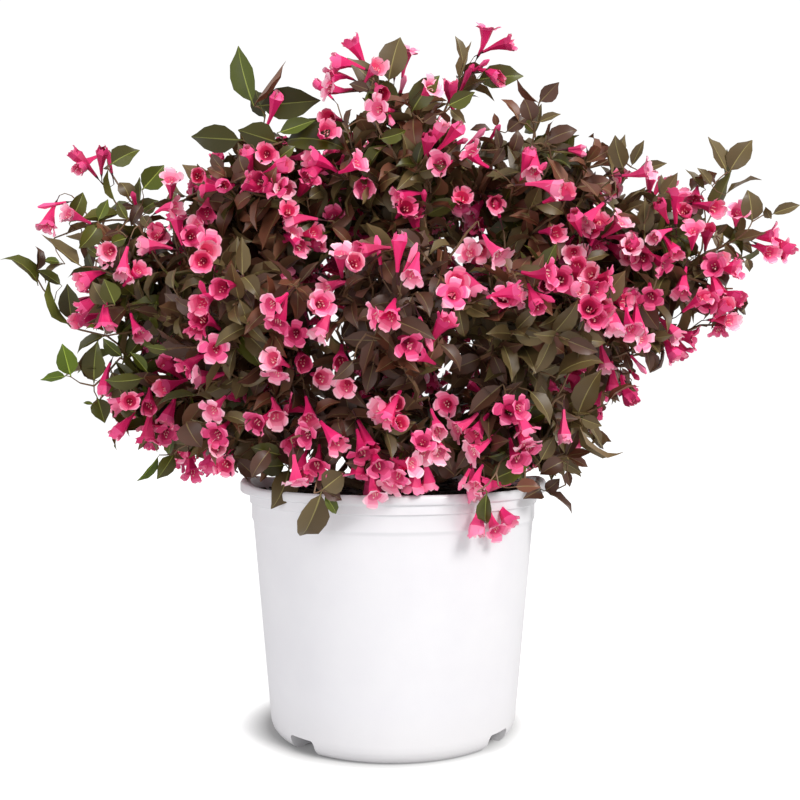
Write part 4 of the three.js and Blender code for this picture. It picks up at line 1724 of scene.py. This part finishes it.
def grow_shrub(crown, posies, leaves, rng):
    """Main stems first, then the lone sprays' stems, then all shoots from the root outwards, and the
    single leaves' stalks."""
    shrub = Shrub()
    for bough in BOUGHS:
        shrub.keep(Limb(bough_path(*bough), kind="bough"), 4)
    grow_lone_sprays(shrub, crown, rng)
    root = Vector((0, 0, MIX_TOP * MM))
    targets = [(tip, out, region, []) for tip, out, region in tips_for(crown, rng)]
    for posy in posies:
        way = sum((flower.way for flower in posy), Vector()).normalized()
        tip = sum((flower.foot for flower in posy), Vector()) / len(posy) - way * POSY_STALK * MM
        _, nearest, _ = crown.near.find(tip)
        targets.append((tip, way, crown.names[nearest], posy))
    for tip, out, region, posy in sorted(targets, key=lambda target: (target[0] - root).length):
        outward, from_root, upward = SHOOT_WAYS
        way = blend((out, outward), ((tip - root).normalized(), from_root), (UP, upward))
        grow_stalks(shrub, shrub.grow(tip, way, region), posy)
    for leaf in leaves:
        grow_leaf_stalk(shrub, leaf)
    shrub.cut_back(HAND_SET)
    shrub.thicken()
    return shrub


# ---------- Dressing the shoots ----------

# Colours of a leaf's two halves, midrib and underside.
LEAF_TONES = {
    "bronze": ("663826", "704430", "8e7a50", "80563e"),
    "umber": ("4a2e20", "503428", "76643f", "664832"),
    "olive": ("564529", "645433", "908450", "766242"),
    "dark_green": ("302c04", "3c3a04", "6a6c2e", "524e20"),
    "deep_green": ("444110", "505212", "889040", "6a6832"),
    "green": ("454c0c", "515b12", "949e3e", "6c7232"),
    "fresh_green": ("4a5c06", "586c08", "9eb43e", "746e2e"),
}
TONE_SHARES = (3, 5, 7, 2, 1, 0, 0)
REGION_TONES = {
    "spray_far_left": (0, 0, 2, 0, 3, 3, 1),
    "spray_left_lower": (0, 0, 1, 0, 3, 4, 1),
    "spray_left_upper": (1, 0, 3, 1, 4, 1, 0),
    "spray_left_blooms": (2, 1, 3, 1, 3, 0, 0),
    "spray_top_left": (0, 0, 3, 5, 3, 0, 0),
    "spray_left_shoulder": (0, 1, 3, 5, 2, 0, 0),
    "spray_top_centre": (2, 1, 4, 3, 2, 0, 0),
    "foliage_upper_left": (4, 3, 6, 2, 0, 0, 0),
    "foliage_upper_centre": (4, 2, 8, 2, 1, 0, 0),
    "foliage_upper_right": (5, 2, 7, 1, 0, 0, 0),
    "foliage_left": (3, 3, 5, 2, 3, 0, 0),
    "foliage_low_left": (4, 2, 6, 1, 4, 1, 0),
    "foliage_low_right": (2, 1, 10, 0, 1, 0, 0),
    "foliage_right": (7, 1, 8, 0, 0, 0, 0),
    "foliage_right_shoulder": (4, 1, 9, 0, 1, 0, 0),
    "foliage_front_right": (4, 2, 8, 0, 1, 0, 0),
    "foliage_front_centre": (4, 9, 2, 0, 0, 0, 0),
    "foliage_low_front": (3, 8, 4, 1, 0, 0, 0),
}

# The lone sprays whose leaves are, but for those deep inside, the single leaves of the front.
HAND_SET = {
    f"spray_{place}"
    for place in (
        "far_left", "left_lower", "left_upper", "left_blooms", "left_shoulder", "top_left", "top_centre",
        "top_right", "upper_right", "right_upper", "right_leafy", "far_right", "right_lower", "low_right",
        "rim_far_right", "rim_right", "rim_left",
    )
}
OVERHANG = 6  # how far other leaves' tips may stand out of the surface

# How far behind a shoot's tip its first pair of leaves is, how large leaves are from the first pair
# on, as shares of the full length, and how many degrees they spread from the shoot.
FIRST_LEAVES = (1, 4)
FIRST_UNDER_POSY = (6, 10)
GROWN_FIRST, GROWN_MORE, GROWN_MOST = 0.72, 0.14, 1.15
FIRST_SPREAD = (24, 42)
LATER_SPREAD = (45, 78)

# How much such a leaf points out of the crown, hangs and strays, how much more it strays at each new
# try, and how much its upper side faces along the shoot, up, out of the crown and astray.
LEAF_OUTWARD = 0.2
LEAF_HANG = 0.16
LEAF_STRAY = 0.16
MORE_STRAY = 0.14
FACE_ACROSS, FACE_UP, FACE_OUT, FACE_STRAY = 0.7, 0.4, 0.8, 0.25
LEAF_TRIES = 3
LEAF_SIZES = (0.86, 1.14)
PAIR_STRAY = 0.3  # radians that a pair may turn off square to the last
SPACING_STRAY = 4

# How much larger than usual the leaves are on these.
REGION_LEAF = {
    "spray_top_left": 1.35,
    "spray_left_shoulder": 1.3,
    "spray_top_centre": 1.2,
    "spray_top_right": 1.15,
    "foliage_upper_left": 1.1,
}

# Colours of a flower's calyx, tube, lobes' backs, lobes' base, middle and rim, lining, throat, anthers.
# The rims' pale pink is the lobes' own paler edge, made paler still as a painted highlight; the tubes' and
# throats' deep pinks are their own, made darker still as painted shade.
PETAL_TONES = {
    "rose": ("481c24", "e2206c", "f45692", "f66898", "fc86ac", "ffb8ce", "e84a86", "b02050", "f4d2c6"),
    "pale": ("50222a", "ea3878", "fa84ac", "fc94b4", "ffb0c8", "ffd2de", "f0709c", "cc346a", "f6dccc"),
    "deep": ("401720", "bc1054", "d02e6c", "d83a72", "e6568a", "f886ac", "c22a64", "901440", "eec4b8"),
}
PETAL_SHARES = (4, 3, 4)

PLANT_SPECULAR = 0.38
SMOOTHING = {"leaves": 32, "blossom": 50}  # degrees between faces, past which their edge stays crisp
HAND_SET_DEPTH = 7  # on a spray whose leaves are the front's single leaves, other leaves lie at least this far under the surface
CLEAR_VIEW = 12  # how near a flower's middle, in steps of the camera's view, no leaf lies before it
CLEAR_DEPTH = 4  # how much farther off than the flower a leaf there has to be not to touch it
PETAL_ROOM = 9  # between a leaf and a flower's mouth

# Flowers by the branching rule: how much a cluster leans out of the crown and up, how many flowers it
# has, how many degrees they tilt from its lean, the turn from one to the next in radians, their sizes,
# how many are open, half open and in bud, and how far at most they stand out of the leaves' surface.
CLUSTER_LEAN = (0.9, -0.1)
CLUSTER_COUNTS = (4, 5, 5, 6, 7, 8)
CLUSTER_TILTS = (8, 68)
CLUSTER_TURN = 2.4
CLUSTER_SIZES = (0.9, 1.08)
CLUSTER_SHARES = (6, 2, 1)
CLUSTER_REACH = 14
CLUSTER_OUT = 30  # how far out of a shoot's tip its flowers show

BLOOM_SHARE = 0.38  # of the shoots that carry such flowers
REGION_BLOOM = {
    "spray_far_left": 0,
    "spray_left_lower": 0,
    "spray_top_left": 0.1,
    "spray_upper_right": 0.1,
    "spray_right_leafy": 0,
    "spray_low_right": 0,
    "spray_rim_far_right": 0,
    "spray_rim_left": 0,
    "foliage_low_right": 0.1,
    "foliage_front_right": 0.2,
    "foliage_front_centre": 0.2,
}


def finishes_for(kind, tones, roughness):
    """One plain finish for each zone of each tone, in order."""
    return [
        plain(f"{kind} {tone} {zone}", linear(code), roughness, PLANT_SPECULAR)
        for tone, codes in tones.items()
        for zone, code in enumerate(codes)
    ]


def facing(along, up):
    """The turn that lays a shape's +Y along one way and its +Z as near as can be to another."""
    across = along.cross(up).normalized()
    return Matrix((across, along, across.cross(along))).transposed()


def looking(out, up):
    """The turn that points a shape's +Z one way, with its +Y as near as can be to another."""
    across = up.cross(out)
    if across.length < 0.01:
        across = Vector((1, 0, 0)).cross(out)
    across.normalize()
    return Matrix((across, out.cross(across), out)).transposed()


def scaled(turned, size):
    return turned @ Matrix.Diagonal((size, size, size))


def clear_of_pot(point):
    """Whether a point is well over the pot's lip, over the mix, or beside the pot."""
    radius, height = math.hypot(point.x, point.y) / MM, point.z / MM
    if height > POT_HEIGHT + 3:
        return True
    if radius < LIP_RADIUS - 8:
        return height > MIX_TOP + 5
    return radius > LIP_RADIUS + 4 or (height < WALL_TOP - 1 and radius > COLLAR_RADIUS + 2)


def from_tip(limb, distance):
    """The point, way and index of a limb at a distance back from its tip, or None past its foot."""
    for index in range(len(limb.points) - 1, 0, -1):
        here, before = limb.points[index], limb.points[index - 1]
        length = (here - before).length
        if distance <= length:
            return here.lerp(before, distance / length), (here - before).normalized()
        distance -= length
    return None


class Dresser:
    """Hangs blossom and leaves on the shoots, and sorts them into pieces by quarter of the crown."""

    def __init__(self, crown, blossom, single_leaves, rng):
        self.crown = crown
        self.single_leaves = single_leaves
        shown = [flower.mouth for flower in blossom]
        shown += [leaf.base.lerp(leaf.tip, 0.6) for leaf in single_leaves]
        self.front = np.array([in_sight(place) for place in shown])
        self.rng = rng
        self.leaves = [modelled_leaf(*habit) for habit in LEAF_HABITS]
        self.shapes = {
            "open": [modelled_flower(*habit, rng) for habit in OPEN_HABITS],
            "half open": [modelled_flower(*habit, rng) for habit in HALF_OPEN_HABITS],
            "bud": [modelled_bud(long) for long in (0.7, 1.0, 1.25)],
        }
        self.quarters = {
            (kind, side, end): Spread(f"{kind}_{end}_{side}")
            for kind in ("leaves", "blossom")
            for end in ("front", "back")
            for side in ("left", "right")
        }
        self.leaf_places = Filled(LEAF_ROOM * MM)
        self.flower_places = Filled(FLOWER_ROOM * MM)

    def piece(self, kind, point):
        """The piece of one kind that has the quarter of the crown where the point lies."""
        side = "left" if point.x < 0 else "right"
        return self.quarters[kind, side, "front" if point.y < QUARTER_LINE else "back"]

    def jitter(self, size):
        return Vector([self.rng.uniform(-size, size) for _ in range(3)])

    def bloom(self, kind, base, way, size, tone):
        """One flower or bud, with its stalk's foot at base."""
        turned = scaled(looking(way, UP + self.jitter(0.6)), size)
        shape = self.rng.choice(self.shapes[kind])
        self.piece("blossom", base).add(shape, turned, base, tone * FLOWER_ZONES)

    def posy(self, limb):
        """The flowers of the front that this shoot carries, most of one tone."""
        tones = self.rng.choices(range(len(PETAL_TONES)), PETAL_SHARES, k=3)
        for flower in limb.posy:
            tone = self.rng.choice((tones[0], tones[0], tones[1], tones[2]))
            self.flower_places.add(flower.mouth)
            self.bloom(flower.kind, flower.foot, flower.way, flower.size, tone)

    def cluster(self, limb):
        """A spray of flowers that fan out from a shoot's tip."""
        rng = self.rng
        tone = rng.choices(range(len(PETAL_TONES)), PETAL_SHARES)[0]
        tip = limb.points[-1]
        _, out = self.crown.under(tip)
        lean = blend(*zip((out, UP), CLUSTER_LEAN))
        side = lean.orthogonal().normalized()
        wanted = rng.choice(CLUSTER_COUNTS)
        for attempt in range(wanted * 3):
            if wanted == 0:
                break
            tilt = math.radians(rng.uniform(*CLUSTER_TILTS))
            spin = Matrix.Rotation(attempt * CLUSTER_TURN, 3, lean)
            aim = (lean * math.cos(tilt) + (spin @ side) * math.sin(tilt)).normalized()
            rng.random()  # a spare draw, without which every later one would fall differently
            size = rng.uniform(*CLUSTER_SIZES)
            kind = rng.choices(tuple(self.shapes), CLUSTER_SHARES)[0]
            mouth = tip + aim * FLOWER_LENGTH * size * MM
            outside = self.crown.under(mouth)[0] < -CLUSTER_REACH * MM
            if outside or in_open(mouth, FLOWER_MARGIN) or not clear_of_pot(mouth):
                continue
            if self.flower_places.free(mouth, FLOWER_ROOM * MM):
                self.flower_places.add(mouth)
                self.bloom(kind, tip, aim, size, tone)
                wanted -= 1

    def hides_front(self, base, along, length):
        """Whether a leaf would lie before a flower of the front, or in an open place."""
        for share in (0.3, 0.6, 0.95):
            point = base + along * length * share
            if in_open(point, LEAF_MARGIN):
                return True
            across, down, distance = in_sight(point)
            near = np.hypot(self.front[:, 0] - across, self.front[:, 1] - down) < CLEAR_VIEW
            if (self.front[near, 2] > distance - CLEAR_DEPTH * MM).any():
                return True
        return False

    def single_leaf(self, leaf):
        """A leaf of the front, laid so that its foot and tip are where they should be."""
        shape = self.rng.choice(self.leaves)
        far_tip = Vector(shape.points[np.linalg.norm(shape.points, axis=1).argmax()])
        along = (leaf.tip - leaf.base).normalized()
        up = leaf.up + self.jitter(0.1)
        size = (leaf.tip - leaf.base).length / far_tip.length
        straight = far_tip.rotation_difference(Vector((0, 1, 0))).to_matrix()
        turned = scaled(facing(along, up) @ straight, size) @ Matrix.Diagonal((leaf.broad, 1, 1))
        centre = leaf.base.lerp(leaf.tip, 0.5)
        self.leaf_places.add(centre)
        self.piece("leaves", centre).add(shape, turned, leaf.base, leaf.tone * LEAF_ZONES)

    def leaf(self, base, along, up, length, tone, depth):
        """One leaf, if it has room there, and whether it had."""
        centre = base + along * length * 0.5
        tip = base + along * length
        if self.crown.under(tip)[0] < depth * MM or not clear_of_pot(centre) or not clear_of_pot(tip):
            return False
        if not self.leaf_places.free(centre, LEAF_ROOM * MM):
            return False
        checked = [base + along * length * share for share in (0.3, 0.6, 0.9)]
        if not all(self.flower_places.free(point, PETAL_ROOM * MM) for point in checked):
            return False
        if self.hides_front(base, along, length):
            return False
        self.leaf_places.add(centre)
        turned = facing(along, up)
        shape = self.rng.choice(self.leaves)
        self.piece("leaves", centre).add(shape, scaled(turned, length), base, tone * LEAF_ZONES)
        return True

    def leafy(self, limb, tone):
        """Pairs of leaves along a shoot, each pair across the last, smaller towards the tip."""
        rng = self.rng
        bearing = rng.uniform(0, math.pi)
        distance = rng.uniform(*(FIRST_UNDER_POSY if limb.posy else FIRST_LEAVES)) * MM
        large = REGION_LEAF.get(limb.region, 1.0)
        depth = HAND_SET_DEPTH if limb.region in HAND_SET else -OVERHANG
        pair = 0
        while distance < LEAFY_LENGTH * MM:
            found = from_tip(limb, distance)
            if found is None:
                break
            point, way = found
            grown = min(GROWN_MOST, GROWN_FIRST + GROWN_MORE * pair)
            length = LEAF_LENGTH * MM * grown * rng.uniform(*LEAF_SIZES) * large
            spread = math.radians(rng.uniform(*(LATER_SPREAD if pair else FIRST_SPREAD)))
            _, out = self.crown.under(point)
            for half in (0, math.pi):
                lateral = Matrix.Rotation(bearing + half, 3, way) @ way.orthogonal().normalized()
                for attempt in range(LEAF_TRIES):
                    along = way * math.cos(spread) + lateral * math.sin(spread)
                    stray = self.jitter(LEAF_STRAY + MORE_STRAY * attempt)
                    along = blend((along, 1), (out, LEAF_OUTWARD), (UP, -LEAF_HANG), (stray, 1))
                    up = way * math.sin(spread) - lateral * math.cos(spread)
                    up = up * FACE_ACROSS + UP * FACE_UP + out * FACE_OUT + self.jitter(FACE_STRAY)
                    if self.leaf(point, along, up, length, tone, depth):
                        break
            bearing += math.pi / 2 + rng.uniform(-PAIR_STRAY, PAIR_STRAY)
            spacing = NODE_SPACING + rng.uniform(-SPACING_STRAY, SPACING_STRAY)
            distance += spacing * MM * (1 if pair else 0.5)
            pair += 1

    def dress(self, shrub):
        """Blossom first, then the single leaves, then leaves wherever they have room."""
        shoots = [limb for limb in shrub.limbs if limb.kind == "shoot"]
        for limb in shoots:
            if limb.posy:
                self.posy(limb)
            elif self.rng.random() < REGION_BLOOM.get(limb.region, BLOOM_SHARE):
                depth, out = self.crown.under(limb.points[-1])
                shown = limb.points[-1] + out * CLUSTER_OUT * MM
                if depth < 2 * TIP_LAYERS[0][0] * MM and self.crown.hidden(shown):
                    self.cluster(limb)
        for leaf in self.single_leaves:
            self.single_leaf(leaf)
        for limb in shoots:
            shares = REGION_TONES.get(limb.region, TONE_SHARES)
            self.leafy(limb, self.rng.choices(range(len(LEAF_TONES)), shares)[0])

    def make(self, names):
        finishes = {
            "leaves": finishes_for("leaf", LEAF_TONES, 0.42),
            "blossom": finishes_for("petal", PETAL_TONES, 0.55),
        }
        for (kind, side, end), spread in self.quarters.items():
            piece = spread.make(finishes[kind])
            round_smooth(piece, SMOOTHING[kind])
            stands_for = []
            if kind == "leaves":
                middles = {name: sum(self.crown.boxes[name], Vector()) / 2 for name in names}
                stands_for = [name for name in names if self.piece(kind, middles[name]) is spread]
            settle(piece, "foliage", *stands_for)


# ---------- Stems and twigs ----------

TWIG_FINISHES = (("old twig", "75593f"), ("green twig", "8a8550"), ("red twig", "70412f"))
OLD, GREEN, RED = range(3)
OLD_RADIUS = 1.7  # a shoot that is thicker than this at its foot is old


# Radius and height of the rings of the woody crown that the stems spring from.
STOOL_RINGS = ((34, 223), (35, 227), (31, 232), (26, 238), (21, 243), (14, 246), (7, 247))


def tubes(name, limbs, roundness, girth, rng=None):
    """Round tubes along the limbs, joined into one piece, thicker where girth says."""
    curve = bpy.data.curves.new(name, "CURVE")
    curve.dimensions = "3D"
    curve.bevel_depth = 1.0
    curve.bevel_resolution = roundness
    curve.use_fill_caps = True
    for limb in limbs:
        line = curve.splines.new("POLY")
        line.points.add(len(limb.points) - 1)
        for index, (knot, place) in enumerate(zip(line.points, limb.points)):
            knot.co = (*place, 1)
            knot.radius = girth(limb, index)
        if rng:
            any_tone = rng.choice((OLD, GREEN, GREEN, RED))
            old = limb.radius(0) > OLD_RADIUS * MM
            line.material_index = GREEN if limb.region in HAND_SET else OLD if old else any_tone
    for finish_name, code in TWIG_FINISHES if rng else ():
        curve.materials.append(plain(finish_name, linear(code), 0.6))
    piece = placed(name, curve)
    take(piece)
    bpy.ops.object.convert(target="MESH")
    begin()
    pick_all()
    bpy.ops.mesh.remove_doubles(threshold=1e-6)
    end()
    return piece


def bough_girth(limb, index):
    """The radius of a main stem, which is never thinner than BOUGH_RADII from foot to end."""
    share = index / (len(limb.points) - 1)
    foot, far = BOUGH_RADII
    return max(limb.radius(index) * 0.9, (foot + (far - foot) * share) * MM)


def make_boughs(shrub):
    """The main stems with furrowed bark, and the woody crown that they spring from."""
    boughs = [limb for limb in shrub.limbs if limb.kind == "bough"]
    for limb in boughs:
        limb.points = smooth_path(limb.points, 4 * MM)
        new_shares, shares = (np.linspace(0, 1, len(each)) for each in (limb.points, limb.load))
        limb.load = list(np.interp(new_shares, shares, limb.load))
    stems = tubes("stems", boughs, 4, bough_girth)
    join(stems, ringed("stool", STOOL_RINGS, 40))
    roughen(stems, "furrow", 0.007, 2, 2 * MM, 0.5)
    finish_off(stems, stem_bark(), 60)
    settle(stems, "bark", "root_crown", *sorted(n for n in NODES if n.startswith("bough_")))


def make_twigs(shrub, rng):
    shoots = [limb for limb in shrub.limbs if limb.kind != "bough"]
    twigs = tubes("twigs", shoots, 0, Limb.radius, rng)
    round_smooth(twigs, 60)
    settle(twigs, "bark", "shoot_far_left")


# ---------- Everything in order ----------

rng = random.Random(SEED)
make_camera()
make_studio()
make_pot()
make_mix(rng)
foliage = sorted(name for name in NODES if name.startswith(("foliage_", "spray_")))
crown = Crown(foliage, rng)
pot_surface = tree_of("pot")
blossom = front_blossom(crown, pot_surface, rng)
single_leaves = front_leaves(crown, pot_surface, blossom, rng)
shrub = grow_shrub(crown, in_posies(blossom), single_leaves, rng)
dresser = Dresser(crown, blossom, single_leaves, rng)
dresser.dress(shrub)
dresser.make(foliage)
make_twigs(shrub, rng)
make_boughs(shrub)
